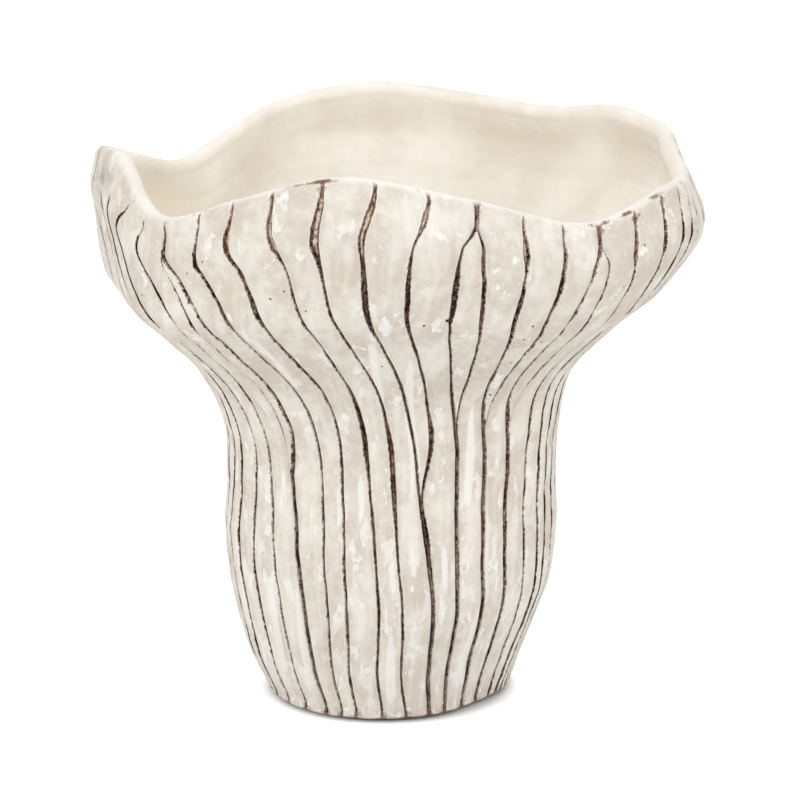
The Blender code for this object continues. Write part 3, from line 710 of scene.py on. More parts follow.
def lip_rows(rows):
    """Half round over the lip. The columns ease from the ribs' spacing into even spacing."""
    ribbed, across = rib_columns(LIP_LEVEL)
    even = even_columns(LIP_LEVEL)
    for step in range(1, LIP_ROWS + 1):
        turn = math.pi * step / (LIP_ROWS + 1)
        azimuth = ribbed + (even - ribbed) * eased(turn / math.pi)
        radius, height, lean = section(azimuth, LIP_LEVEL)
        outward, upward = slope(azimuth, LIP_LEVEL)
        out = outward * math.cos(turn) - upward * math.sin(turn)
        up = upward * math.cos(turn) + outward * math.sin(turn)
        points = place(azimuth, radius + (out - outward) * WALL / 2, height + (up - upward) * WALL / 2, lean)
        left = eased(1 - turn / LIP_FADE_TURN)
        rows.add(azimuth, points, direction(azimuth, out, up), **across, pressed=1, near_lip=left ** 2,
                 carving=carving_share(ribbed, LIP_LEVEL) * left,
                 smear=np.clip(value_round(LIP_SMEARS, ribbed), 0, 1),
                 inside=eased(turn / math.pi * 1.6 - 0.1))


def inner_rows(rows):
    """Down the smooth inner wall, round the fillet, over the floor, through the drain hole and underneath."""
    even = even_columns(LIP_LEVEL)
    fillet_height = FLOOR_TOP + FLOOR_FILLET
    trial = np.linspace(0, LIP_LEVEL / 2, 200)
    inner_height = section(0, trial)[1] - slope(0, trial)[1] * WALL
    lowest = float(np.interp(fillet_height, inner_height, trial))
    count = round((LIP_LEVEL - lowest) * INNER_ROWS_A_LEVEL)
    for level in np.linspace(LIP_LEVEL, lowest, count + 1):
        radius, height, lean = section(even, level)
        outward, upward = slope(even, level)
        thickness = WALL + swelling_inside(even, level)
        points = place(even, radius - outward * thickness, height - upward * thickness, lean)
        rows.add(even, points, direction(even, -outward, -upward), inside=1,
                 pressed=eased((level - lowest) / 2),
                 pocket=np.clip(value_round(POCKET, even), 0, 1) * window(POCKET_LEVELS, level),
                 hollow=np.clip(thumbed(even, level), -2, 2) / 2)
    radius, _, lean = section(even, lowest)
    radius = radius - slope(even, lowest)[0] * WALL
    for step in range(1, FILLET_ROWS + 1):
        turn = math.pi / 2 * step / FILLET_ROWS
        points = place(even, radius - FLOOR_FILLET * (1 - math.cos(turn)),
                       fillet_height - FLOOR_FILLET * math.sin(turn), lean)
        rows.add(even, points, direction(even, -math.cos(turn), math.sin(turn)), inside=1)
    foot = even[0] + np.arange(len(even)) * 360 / len(even)
    floor = radius - FLOOR_FILLET
    for share in FLOOR_REACH:
        azimuth = foot + (even - foot) * share
        ring = SEAT_RADIUS + (floor - SEAT_RADIUS) * share
        rows.add(azimuth, place(azimuth, ring, FLOOR_TOP, LEAN[0] + (lean - LEAN[0]) * share),
                 direction(azimuth, 0, 1), inside=1)
    seat = FLOOR_TOP - SEAT_DEPTH
    circles = ((SEAT_RADIUS, FLOOR_TOP, 1), (SEAT_RADIUS - MM / 2, seat, 1), (DRAIN_RADIUS + MM / 2, seat, 1),
               (DRAIN_RADIUS, seat - MM / 2, 0), (DRAIN_RADIUS, UNDERSIDE + MM, 0),
               (DRAIN_RADIUS + MM, UNDERSIDE, -1))
    for ring, height, up in circles:
        rows.add(foot, place(foot, ring, height, LEAN[0]), direction(foot, abs(up) - 1, up),
                 inside=max(up, 0), underside=1 - max(up, 0))
    first = level_above_foot_edge()
    edge, _ = rib_columns(first)
    reach = section(edge, first)[0] - FOOT_EDGE
    for share in UNDER_REACH:
        azimuth = foot + (edge - foot) * share
        ring = DRAIN_RADIUS + (reach - DRAIN_RADIUS) * share
        rows.add(azimuth, place(azimuth, ring, UNDERSIDE, LEAN[0]), direction(azimuth, 0, -1), underside=1)


def store(mesh, kind, field, attributes):
    """Stores named values as attributes of the mesh's points."""
    for name, values in attributes.items():
        values = np.array(values, np.float32).ravel()
        mesh.attributes.new(name, kind, "POINT").data.foreach_set(field, values)


def shell_blank():
    """The uncarved shell: a closed mesh whose columns follow the grooves, with the values that carve it."""
    rows = Rows()
    outer_rows(rows)
    lip_rows(rows)
    inner_rows(rows)
    points = np.array(rows.points)
    count, columns = points.shape[:2]
    steps = np.linalg.norm(np.diff(points, axis=0), axis=2).mean(axis=1)
    path = np.broadcast_to(np.concatenate([[0], np.cumsum(steps)])[:, None], (count, columns))
    turn = np.radians(np.array(rows.azimuth))
    flow = np.stack([FLOW_RADIUS * np.sin(turn), -FLOW_RADIUS * np.cos(turn), path], axis=-1)
    row, column = np.meshgrid(np.arange(count), np.arange(columns), indexing="ij")
    above = (row + 1) % count
    beside = (column + 1) % columns
    corners = np.stack([row * columns + column, row * columns + beside, above * columns + beside,
                        above * columns + column], axis=-1)
    mesh = bpy.data.meshes.new("shell_blank")
    mesh.from_pydata(points.reshape(-1, 3), [], corners.reshape(-1, 4).tolist())
    store(mesh, "FLOAT", "value", rows.values)
    store(mesh, "FLOAT_VECTOR", "vector", {"outward": rows.outward, "flow": flow})
    mesh.shade_smooth()
    return mesh


def linear(code):
    """Linear red, green and blue of an sRGB hex colour."""
    channels = [int(code[i:i + 2], 16) / 255 for i in (1, 3, 5)]
    return tuple(c / 12.92 if c <= 0.04045 else ((c + 0.055) / 1.055) ** 2.4 for c in channels)


def add(tree, kind, *values, **settings):
    """Adds a node of a kind, which is a name, or a name and settings. The values go to its sockets in order:
    each is a number or colour, another node's output, or None to leave the socket as it is. Gives the node's
    first output."""
    name, usual = (kind, {}) if isinstance(kind, str) else kind
    node = tree.nodes.new(name)
    for setting, value in (usual | settings).items():
        setattr(node, setting, value)
    sockets = [socket for socket in node.inputs if socket.enabled]
    for socket, value in zip(sockets, values):
        if isinstance(value, bpy.types.NodeSocket):
            tree.links.new(value, socket)
        elif value is not None:
            socket.default_value = value
    return next((socket for socket in node.outputs if socket.enabled), node)


# Kinds of node that many trees use, with their settings
PLUS, MINUS, TIMES, OVER, TIMES_PLUS, LARGER, SMALLER, POWER, ABSOLUTE = (
    ("ShaderNodeMath", {"operation": operation})
    for operation in ("ADD", "SUBTRACT", "MULTIPLY", "DIVIDE", "MULTIPLY_ADD", "MAXIMUM", "MINIMUM", "POWER",
                      "ABSOLUTE")
)
SCALED, STRETCHED, APART = (
    ("ShaderNodeVectorMath", {"operation": operation}) for operation in ("SCALE", "MULTIPLY", "DISTANCE")
)
RANGE = "ShaderNodeMapRange"
SOFT_RANGE = (RANGE, {"interpolation_type": "SMOOTHSTEP"})
MIX = ("ShaderNodeMix", {"data_type": "RGBA"})
NOISE = "ShaderNodeTexNoise"
FLOWING_NOISE = (NOISE, {"noise_dimensions": "4D"})
NUMBER = ("GeometryNodeInputNamedAttribute", {"data_type": "FLOAT"})
VECTOR = ("GeometryNodeInputNamedAttribute", {"data_type": "FLOAT_VECTOR"})


def new_geometry_tree(name, labels, kind="NodeSocketFloat"):
    """A Geometry Nodes tree with a geometry input, an input of a kind for each label, a material and a
    geometry output. Gives the tree and its inputs by name."""
    tree = bpy.data.node_groups.new(name, "GeometryNodeTree")
    tree.interface.new_socket("Geometry", in_out="INPUT", socket_type="NodeSocketGeometry")
    for shown in labels:
        tree.interface.new_socket(shown, in_out="INPUT", socket_type=kind)
    tree.interface.new_socket("Material", in_out="INPUT", socket_type="NodeSocketMaterial")
    tree.interface.new_socket("Geometry", in_out="OUTPUT", socket_type="NodeSocketGeometry")
    return tree, tree.nodes.new("NodeGroupInput").outputs


def finish_tree(tree, given, geometry):
    """Ends a Geometry Nodes tree in Realize Instances, Set Material and the output."""
    real = add(tree, "GeometryNodeRealizeInstances", geometry)
    dressed = add(tree, "GeometryNodeSetMaterial", real, None, given["Material"])
    add(tree, "NodeGroupOutput", dressed)
    return tree


def grown(name, mesh, tree, inputs, body):
    """Runs a Geometry Nodes tree on a mesh. Gives the result as a plain mesh object that rides on a body."""
    blank = bpy.data.objects.new(name + "_blank", mesh)
    bpy.context.scene.collection.objects.link(blank)
    modifier = blank.modifiers.new(tree.name, "NODES")
    modifier.node_group = tree
    for item in tree.interface.items_tree:
        if item.in_out == "INPUT" and item.name in inputs:
            modifier[item.identifier] = inputs[item.name]
    graph = bpy.context.evaluated_depsgraph_get()
    plain = bpy.data.meshes.new_from_object(blank.evaluated_get(graph))
    blank.modifiers.remove(modifier)
    bpy.data.objects.remove(blank)
    plain.name = name
    piece = bpy.data.objects.new(name, plain)
    bpy.context.scene.collection.objects.link(piece)
    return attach(piece, body)


def carving_tree():
    """Cuts the grooves into the blank and rounds the ribs between them, along the outward directions."""
    tree, given = new_geometry_tree("Carve grooves", [label(name) for name in CARVING_SIZES])
    names = ("groove_distance", "groove_half_width", "rib_half_width", "carving", "pressed")
    distance, half, rib, carving, pressed = (add(tree, NUMBER, name) for name in names)
    outward = add(tree, VECTOR, "outward")
    flow = add(tree, VECTOR, "flow")

    # The cut: a narrow floor, walls that the tool chattered along, and no deeper than its width allows
    across = add(tree, MINUS, distance, half)
    cut = add(tree, SOFT_RANGE, across, *CUT_SLOPE, 1.0, 0.0)
    steep = add(tree, TIMES, half, given["Steepest cut"])
    depth = add(tree, SMALLER, given["Depth"], steep)
    scrape = add(tree, FLOWING_NOISE, flow, given["Seed"], 1 / CHATTER_SPACING, 2.0)
    scrape = add(tree, RANGE, scrape, 0.3, 0.7, -1.0, 1.0)
    scrape = add(tree, TIMES_PLUS, scrape, given["Chatter"], 1.0)
    depth = add(tree, TIMES, depth, scrape)
    sunk = add(tree, TIMES, depth, cut)

    # The rib's round back, lower where the rib is narrow
    safe_rib = add(tree, LARGER, rib, 0.1 * MM)
    nearness = add(tree, OVER, distance, safe_rib)
    nearness = add(tree, MINUS, 1.0, nearness, use_clamp=True)
    shoulder = add(tree, POWER, nearness, 2.0)
    full = add(tree, OVER, rib, FULL_RIB / 2, use_clamp=True)
    shoulder = add(tree, TIMES, shoulder, full)
    shoulder = add(tree, TIMES, shoulder, given["Crown"])
    carved = add(tree, PLUS, sunk, shoulder)
    carved = add(tree, TIMES, carved, carving)

    # The hand's own unevenness
    big = add(tree, FLOWING_NOISE, flow, given["Seed"], 1 / SWELL_SPACING, 1.0)
    big = add(tree, RANGE, big, 0.25, 0.75, 0.0, given["Hand lumps"])
    small = add(tree, FLOWING_NOISE, flow, given["Seed"], 1 / DENT_SPACING, 1.0)
    small = add(tree, RANGE, small, 0.25, 0.75, 0.0, given["Small lumps"])
    uneven = add(tree, PLUS, big, small)
    uneven = add(tree, PLUS, uneven, given["Margin"])
    uneven = add(tree, TIMES, uneven, pressed)
    inwards = add(tree, PLUS, carved, uneven)
    inwards = add(tree, TIMES, inwards, -1.0)
    offset = add(tree, SCALED, outward, inwards)
    moved = add(tree, "GeometryNodeSetPosition", given["Geometry"], None, None, offset)
    return finish_tree(tree, given, moved)


def new_material(name):
    """A material with nodes, which holds a plain Principled shader so far."""
    material = bpy.data.materials.new(name)
    material.use_nodes = True
    return material


def set_shader(material, inputs):
    """Gives the material's Principled shader its inputs, each a number or another node's output."""
    tree = material.node_tree
    for name, value in inputs.items():
        socket = tree.nodes["Principled BSDF"].inputs[name]
        if isinstance(value, bpy.types.NodeSocket):
            tree.links.new(value, socket)
        else:
            socket.default_value = value


def shell_surface(mesh):
    """The mesh's faces, ready for casting rays at them."""
    return BVHTree.FromPolygons([v.co for v in mesh.vertices], [tuple(p.vertices) for p in mesh.polygons])


def on_shell(surface, azimuth, level):
    """The carved shell's point and normal where a ray from outside meets the wall at an azimuth and level."""
    radius, height, lean = section(azimuth, level)
    outward, upward = slope(azimuth, level)
    start = Vector(place(azimuth, radius, height, lean))
    along = Vector(direction(azimuth, outward, upward))
    point, normal, _, _ = surface.ray_cast(start + along * RAY_LEAD, -along)
    if point is None:
        raise RuntimeError(f"No wall at azimuth {azimuth}, level {level}")
    return point, normal


def in_millimetres(tree):
    """Object coordinates in millimetres."""
    coordinates = add(tree, "ShaderNodeTexCoord").node.outputs["Object"]
    return add(tree, SCALED, coordinates, 1 / MM)


def limewashed_concrete(material, finish, holes):
    """Cast concrete, brushed with limewash and antiqued. The wash leaves a chalky, mottled off-white with
    vertical brush streaks. The brown pigment that was wiped off the ribs stays in the grooves, darkest where
    its line is heavy. Air in the casting leaves pinholes."""
    tree = material.node_tree
    place_mm = in_millimetres(tree)
    values = {}
    shaded = [name for name in Rows.NAMES if name not in ("rib_half_width", "pressed")]
    for name in shaded:
        values[name] = add(tree, "ShaderNodeAttribute", attribute_name=name).node.outputs["Fac"]
    flow = add(tree, "ShaderNodeAttribute", attribute_name="flow").node.outputs["Vector"]
    flow = add(tree, SCALED, flow, 1 / MM)
    inside = values["inside"]
    outside = add(tree, MINUS, 1.0, inside)

    # Mottles of the wash, 30 mm and 7 mm across, a grain of 1 mm, and streaks 5 mm wide and 50 mm long down
    # the wall
    clouds = add(tree, NOISE, place_mm, 1 / 30, 3.0, 0.55)
    mottles = add(tree, NOISE, place_mm, 1 / 7, 4.0, 0.6)
    grain = add(tree, NOISE, place_mm, 1.0, 2.0, 0.7)
    cloudy = add(tree, TIMES, clouds, 0.5)
    cloudy = add(tree, TIMES_PLUS, mottles, 0.35, cloudy)
    cloudy = add(tree, TIMES_PLUS, grain, 0.15, cloudy)
    cloudy = add(tree, SOFT_RANGE, cloudy, 0.38, 0.6, 0.0, 1.0)
    colour = add(tree, MIX, cloudy, finish.cream, finish.beige)
    low = add(tree, "ShaderNodeSeparateXYZ", flow).node.outputs["Z"]
    lower = add(tree, RANGE, low, 40.0, 210.0, 1.0, 0.0)
    down = add(tree, STRETCHED, flow, (1 / 5, 1 / 5, 1 / 50))
    streaks = add(tree, NOISE, down, 1.0, 3.0, 0.6)
    washed = add(tree, NOISE, place_mm, 1 / 45, 2.0)
    washed = add(tree, TIMES_PLUS, washed, 0.5, streaks)
    washed = add(tree, TIMES_PLUS, lower, 0.07, washed)
    washed = add(tree, SOFT_RANGE, washed, 0.72, 0.92, 0.0, 0.3)

    # Where the wash was dabbed on thickly it ends in a ragged edge
    dabbed = add(tree, STRETCHED, flow, (1 / 8, 1 / 8, 1 / 20))
    dabbed = add(tree, NOISE, dabbed, 1.0, 6.0, 0.62)
    dabbed = add(tree, TIMES_PLUS, lower, 0.065, dabbed)
    dabbed = add(tree, RANGE, dabbed, 0.605, 0.62, 0.0, 0.8)
    thin = add(tree, RANGE, mottles, 0.35, 0.6, 0.25, 1.0)
    dabbed = add(tree, TIMES, dabbed, thin)
    washed = add(tree, LARGER, washed, dabbed)

    # The smears' and drips' streaky trails, flecks 2 mm across, and grey patches, the one by the ear painted
    # shade of a dimple
    trail = add(tree, TIMES_PLUS, streaks, 1.2, values["trail"])
    trail = add(tree, TIMES_PLUS, grain, 0.5, trail)
    trail = add(tree, SOFT_RANGE, trail, 1.15, 1.45, 0.0, 0.7)
    washed = add(tree, LARGER, washed, trail)
    flecks = add(tree, NOISE, place_mm, 1 / 2.2, 2.0, 0.7)
    flecks = add(tree, TIMES_PLUS, mottles, 0.6, flecks)
    flecks = add(tree, RANGE, flecks, 0.96, 1.04, 0.0, 0.4)
    washed = add(tree, LARGER, washed, flecks)
    washed = add(tree, TIMES, washed, outside)
    colour = add(tree, MIX, washed, colour, finish.wash)
    # Grey patches; the one by the ear is painted shade of a dimple
    smudge = add(tree, RANGE, mottles, 0.3, 0.7, 0.2, 1.0)
    smudge = add(tree, TIMES, smudge, values["smudge"])
    colour = add(tree, MIX, smudge, colour, finish.smudge)

    # Distance from the groove's middle, from the pigment's line and past the cut's edge, torn in 0.7 and 3 mm
    # steps
    distance = add(tree, TIMES, values["groove_distance"], 1 / MM)
    half = add(tree, TIMES, values["groove_half_width"], 1 / MM)
    weight = add(tree, TIMES, values["line_weight"], 1 / MM)
    opening = add(tree, MINUS, half, CUT_RIM / MM)
    tears = add(tree, NOISE, place_mm, 1 / 0.7, 2.0, 0.6)
    long_tears = add(tree, NOISE, place_mm, 1 / 3, 2.0)
    torn = add(tree, TIMES_PLUS, tears, 1.7, distance)
    torn = add(tree, TIMES_PLUS, long_tears, 1.3, torn)
    torn = add(tree, MINUS, torn, 1.5)
    off_line = add(tree, MINUS, torn, opening)
    off_line = add(tree, ABSOLUTE, off_line)
    off_line = add(tree, MINUS, off_line, weight)
    past = add(tree, MINUS, torn, half)
    between = add(tree, MINUS, opening, torn)
    carved = add(tree, RANGE, values["carving"], 0.03, 0.3, 0.0, 1.0)
    fibres = add(tree, STRETCHED, flow, (1 / 0.9, 1 / 0.9, 1 / 6))
    fibres = add(tree, NOISE, fibres, 1.0, 2.0, 0.6)
    breaks = add(tree, NOISE, place_mm, 1 / 1.2, 2.0, 0.6)
    breaks = add(tree, TIMES, breaks, 0.6)
    breaks = add(tree, TIMES_PLUS, fibres, 0.5, breaks)

    # Painted highlight: a pale rim beside the groove, where the rib's edge would catch the light. Then the
    # brown halo, which patches of wash cover
    rim = add(tree, SOFT_RANGE, past, 1.2, 0.2, 0.0, 0.6)
    rim = add(tree, TIMES, rim, outside)
    rim = add(tree, TIMES, rim, carved)
    colour = add(tree, MIX, rim, colour, finish.rim)
    patches = add(tree, NOISE, place_mm, 1 / 5, 3.0, 0.7)
    patches = add(tree, RANGE, patches, 0.4, 0.62, 0.35, 1.0)
    halo = add(tree, SOFT_RANGE, past, 0.35, -0.35, 0.0, 1.0)
    for share in (patches, carved, values["halo"]):
        halo = add(tree, TIMES, halo, share)
    colour = add(tree, MIX, halo, colour, finish.stain)

    # Crumbs of pigment and concrete on an open floor
    floor = add(tree, RANGE, between, -0.1, 0.25, 0.0, 0.8)
    floor = add(tree, TIMES, floor, carved)
    crumbs = add(tree, TIMES, breaks, 0.5)
    crumbs = add(tree, TIMES_PLUS, patches, 0.25, crumbs)
    light_crumbs = add(tree, RANGE, crumbs, 0.42, 0.54, 0.0, 1.0)
    dark_crumbs = add(tree, RANGE, crumbs, 0.5, 0.58, 0.0, 0.9)
    crumbs = add(tree, MIX, light_crumbs, finish.crackle, finish.pigment_edge)
    crumbs = add(tree, MIX, dark_crumbs, crumbs, finish.pigment)
    colour = add(tree, MIX, floor, colour, crumbs)

    # The pigment's line: near black where it is heavy, brown and broken every 1.2 mm or so where it is thin,
    # with a ragged brown edge
    ragged = add(tree, TIMES_PLUS, breaks, 1.6, off_line)
    ragged = add(tree, SOFT_RANGE, ragged, 1.4, 0.95, 0.0, 0.85)
    edge = add(tree, SOFT_RANGE, off_line, 0.3, 0.0, 0.0, 0.85)
    edge = add(tree, LARGER, edge, ragged)
    edge = add(tree, TIMES, edge, carved)
    kept = add(tree, LARGER, patches, 0.75)
    edge = add(tree, TIMES, edge, kept)
    colour = add(tree, MIX, edge, colour, finish.pigment_edge)
    core = add(tree, SOFT_RANGE, off_line, 0.14, -0.04, 0.0, 1.0)
    heavy = add(tree, TIMES, weight, 0.4)
    heavy = add(tree, TIMES_PLUS, breaks, -2.6, heavy)
    heavy = add(tree, RANGE, heavy, -1.38, -1.1, 0.2, 1.0)
    core = add(tree, TIMES, core, heavy)
    core = add(tree, TIMES, core, carved)
    colour = add(tree, MIX, core, colour, finish.pigment)

    # Under the lip the pigment spread in small triangles over the grooves, and here and there along the edge
    near = values["near_lip"]
    spread = near
    for share in (near, 3.4, values["smear"]):
        spread = add(tree, TIMES, spread, share)
    spread = add(tree, MINUS, torn, spread)
    spread = add(tree, RANGE, spread, 0.5, -0.2, 0.0, 1.0)
    there = add(tree, RANGE, near, 0.1, 0.5, 0.0, 1.0)
    spread = add(tree, TIMES, spread, there)
    runs = add(tree, NOISE, place_mm, 1 / 16, 2.0)
    runs = add(tree, TIMES_PLUS, values["smear"], 0.2, runs)
    runs = add(tree, TIMES_PLUS, tears, 0.4, runs)
    runs = add(tree, RANGE, runs, 0.87, 0.94, 0.0, 0.9)
    smeared = add(tree, RANGE, values["smear"], 0.05, 0.3, 0.0, 1.0)
    runs = add(tree, TIMES, runs, smeared)
    along = add(tree, RANGE, inside, 0.06, 0.14, 0.0, 1.0)
    past_edge = add(tree, RANGE, inside, 0.3, 0.42, 1.0, 0.0)
    for share in (past_edge, runs):
        along = add(tree, TIMES, along, share)
    for share in (values["smear"], carved, patches):
        spread = add(tree, TIMES, spread, share)
    colour = add(tree, MIX, spread, colour, finish.pigment_edge)

    # Pinholes: the listed ones, and a few seeded ones on a 16 mm lattice
    nearest = 99.0
    for point, radius in holes:
        gap = add(tree, APART, place_mm, tuple(point / MM)).node.outputs["Value"]
        gap = add(tree, MINUS, gap, radius)
        nearest = add(tree, SMALLER, gap, nearest)
    cells = add(tree, "ShaderNodeTexVoronoi", place_mm, 1 / 16)
    chance = add(tree, "ShaderNodeSeparateColor", cells.node.outputs["Color"])
    radius = add(tree, RANGE, chance, 0.62, 1.0, -0.5, 0.6, clamp=False)
    gap = add(tree, TIMES, cells, 16.0)
    gap = add(tree, MINUS, gap, radius)
    nearest = add(tree, SMALLER, gap, nearest)
    nearest = add(tree, TIMES_PLUS, tears, 0.5, nearest)
    hole = add(tree, RANGE, nearest, 0.5, 0.2, 0.0, 1.0)
    colour = add(tree, MIX, hole, colour, finish.pigment)

    # Inside the brush ran round: soft mottles and streaks 40 mm long and 3 mm wide. The thumbed hollows are
    # painted darker and the swellings lighter, partly pigment and partly painted shade
    around = add(tree, STRETCHED, flow, (1 / 40, 1 / 40, 1 / 3))
    brushed = add(tree, NOISE, around, 1.0, 3.0, 0.55)
    brushed = add(tree, TIMES, brushed, 0.25)
    brushed = add(tree, TIMES_PLUS, clouds, 0.75, brushed)
    brushed = add(tree, TIMES_PLUS, mottles, 0.2, brushed)
    brushed = add(tree, TIMES_PLUS, values["hollow"], 0.25, brushed)
    brushed = add(tree, RANGE, brushed, 0.36, 0.82, 0.0, 1.0)
    lining = add(tree, MIX, brushed, finish.lining_light, finish.lining_dark)
    # The pocket is painted a darker beige: brushed pigment, and painted shade where its wall faces away from
    # the light
    strokes = add(tree, STRETCHED, flow, (1 / 3, 1 / 3, 1 / 45))
    strokes = add(tree, NOISE, strokes, 1.0, 2.0, 0.6)
    pocket = add(tree, PLUS, strokes, values["pocket"])
    pocket = add(tree, RANGE, pocket, 0.75, 1.5, 0.0, 0.9)
    lining = add(tree, MIX, pocket, lining, finish.pocket)
    colour = add(tree, MIX, inside, colour, lining)
    # Painted highlight: the top of the lip's round takes the white wash colour, where light falls on it
    highlight_over_lip = add(tree, RANGE, inside, 0.02, 0.2, 0.0, 0.4)
    highlight_past_lip = add(tree, RANGE, inside, 0.6, 0.98, 1.0, 0.0)
    lip = add(tree, TIMES, highlight_over_lip, highlight_past_lip)
    colour = add(tree, MIX, lip, colour, finish.wash)
    colour = add(tree, MIX, along, colour, finish.pigment_edge)

    # The raw underside, also on the lower half of the foot's rounded edge, where its darker colour is partly
    # painted shade under the foot. Then brown stains on the lowest 6 mm or so of the outer wall
    raw = add(tree, MIX, mottles, finish.raw_light, finish.raw_dark)
    colour = add(tree, MIX, values["underside"], colour, raw)
    soiled = add(tree, RANGE, low, 9.0, 4.0, 0.0, 1.0)
    soiled = add(tree, TIMES, soiled, outside)
    beside_cut = add(tree, RANGE, past, 3.0, 0.0, 0.0, 0.11)
    specks = add(tree, TIMES, breaks, 0.5)
    specks = add(tree, TIMES_PLUS, patches, 0.2, specks)
    stained = add(tree, PLUS, specks, beside_cut)
    stained = add(tree, RANGE, stained, 0.43, 0.55, 0.0, 0.7)
    stained = add(tree, TIMES, stained, soiled)
    colour = add(tree, MIX, stained, colour, finish.pigment_edge)

    # The wash is smoother than the bare concrete, and brush streaks, grain and mottles stand out a little
    rough = add(tree, RANGE, washed, 0.0, 1.0, 0.86, 0.68)
    relief = add(tree, TIMES_PLUS, streaks, 0.8, grain)
    relief = add(tree, TIMES_PLUS, mottles, 1.6, relief)
    sunk = add(tree, TIMES_PLUS, hole, -3.0, relief)
    sunk = add(tree, TIMES_PLUS, core, -2.0, sunk)
    bumped = add(tree, "ShaderNodeBump", 0.55, 0.3 * MM, None, sunk)
    set_shader(material, {"Base Color": colour, "Roughness": rough, "Specular IOR Level": 0.2,
                          "Normal": bumped})


def rubber(name, skin, roughness, grain_mm):
    """Moulded rubber: an even dark skin, matt from the mould's blasted face, with a fine grain."""
    material = new_material(name)
    tree = material.node_tree
    place_mm = in_millimetres(tree)
    bloom = add(tree, NOISE, place_mm, 1 / 6, 3.0)
    bloom = add(tree, RANGE, bloom, 0.35, 0.7, 0.0, 0.5)
    pale = tuple(min(1, 1.6 * channel + 0.01) for channel in skin)
    colour = add(tree, MIX, bloom, skin, pale)
    grain = add(tree, NOISE, place_mm, 1 / grain_mm, 2.0)
    bumped = add(tree, "ShaderNodeBump", 0.4, 0.1 * MM, None, grain)
    set_shader(material, {"Base Color": colour, "Roughness": roughness, "Normal": bumped})
    return material


def turned(name, profile, sides):
    """A closed turned mesh from radius and height down its outer side, both ends on the axis."""
    points = [(0, 0, profile[0][1])]
    turn = np.arange(sides) * math.tau / sides
    for radius, height in profile[1:-1]:
        points += [(radius * math.cos(t), radius * math.sin(t), height) for t in turn]
    points.append((0, 0, profile[-1][1]))
    last = len(points) - 1
    faces = []
    for i in range(sides):
        j = (i + 1) % sides
        faces.append((0, 1 + i, 1 + j))
        for ring in range(len(profile) - 3):
            a = 1 + ring * sides
            b = a + sides
            faces.append((a + i, b + i, b + j, a + j))
        faces.append((last - sides + j, last - sides + i, last))
    mesh = bpy.data.meshes.new(name)
    mesh.from_pydata(points, [], faces)
    mesh.shade_smooth()
    mesh.set_sharp_from_angle(angle=math.radians(50))
    return mesh


def label(name):
    """A setting's name as it is shown."""
    return name.replace("_", " ").capitalize()


# Settings of the panel: description, default value, unit
CARVING_SIZES = {
    "depth": ("Depth of a wide groove", 1.6 * MM, "LENGTH"),
    "crown": ("How far a rib's back stands over its edges", 2.6 * MM, "LENGTH"),
    "hand_lumps": ("Height of the swells left by pressing", 0.8 * MM, "LENGTH"),
    "small_lumps": ("Height of the small dents", 0.45 * MM, "LENGTH"),
    "margin": ("Least depth of the surface under the casting's outer form", 0.1 * MM, "LENGTH"),
    "steepest_cut": ("Greatest depth of a groove as a multiple of its half width", 2.2, "NONE"),
    "chatter": ("Share by which the cutting depth varies", 0.3, "NONE"),
    "seed": ("Picks another hand's unevenness", 3.0, "NONE"),
}
BEAD_SIZES = {
    "bead_height": ("How far a dried bead of wash stands out", 0.55 * MM, "LENGTH"),
    "bead_top": ("Width of a bead's top end as a share of its bottom end", 0.5, "NONE"),
}
STAGE_VALUES = {
    **{name: (f"Power of the soft lamp {where}", power, "POWER") for name, _, _, power, where in LAMPS},
    "ambient": ("Strength of the even light from all round", 0.6, "NONE"),
    "floor_lift": ("Glow that only the camera and reflections see on the floor", 0.45, "NONE"),
}

# Colours of the finish: description, sRGB
COLOURS = {
    "cream": ("Light mottles of the ribs", "#E8E3D8"),
    "beige": ("Darker mottles of the ribs", "#D5CABC"),
    "wash": ("White streaks of the limewash", "#F8F7F3"),
    # rim is a painted highlight along the edges of a groove
    "rim": ("Painted highlight along the edge of a groove", "#F4EFE6"),
    "stain": ("Pigment wiped over a groove's walls", "#B4967A"),
    "pigment_edge": ("Thin pigment at a groove's edge", "#7A4827"),
    "pigment": ("Pigment in the depth of a groove", "#2C1307"),
    "crackle": ("Crumbs of concrete on a wide groove's floor", "#E6DAC8"),
    # Grey of the patches, which by the ear is painted shade of a dimple
    "smudge": ("Grey patches, by the ear painted shade of a dimple", "#B3ABA0"),
    "lining_light": ("Light mottles inside", "#F8F4EC"),
    "lining_dark": ("Darker mottles inside", "#E6DED1"),
    # The pocket's colour is brushed pigment and painted shade
    "pocket": ("Brushed pigment and painted shade in the pocket inside", "#EFE5D4"),
    # On the lower half of the foot's rounded edge the raw colours are also painted shade under the foot
    "raw_light": ("Unwashed concrete underneath", "#A79C8E"),
    "raw_dark": ("Darker unwashed concrete", "#857A6D"),
    "plug": ("Rubber of the drain plug", "#232221"),
    "pads": ("Rubber of the foot pads", "#605E5A"),
}


def number_settings(table):
    """A property for each setting of a table of description, default value and unit."""
    return {name: bpy.props.FloatProperty(name=label(name), description=about, default=value, unit=unit)
            for name, (about, value, unit) in table.items()}


class PlanterCarving(bpy.types.PropertyGroup):
    """Sizes of the carved grooves and ribs, and of the beads of wash."""

    __annotations__ = number_settings(CARVING_SIZES | BEAD_SIZES)


class PlanterStage(bpy.types.PropertyGroup):
    """The studio round the planter."""

    __annotations__ = number_settings(STAGE_VALUES)


class PlanterFinish(bpy.types.PropertyGroup):
    """Colours of the concrete, its limewash and pigment, and of the rubber pieces."""

    __annotations__ = {
        name: bpy.props.FloatVectorProperty(name=label(name), description=about, default=(*linear(code), 1),
                                            size=4, subtype="COLOR")
        for name, (about, code) in COLOURS.items()}


def shown_settings(group, material):
    """The group's settings by their labels and a material, for the inputs of a Geometry Nodes tree."""
    shown = {label(name): getattr(group, name) for name in type(group).__annotations__}
    return {**shown, "Material": material}


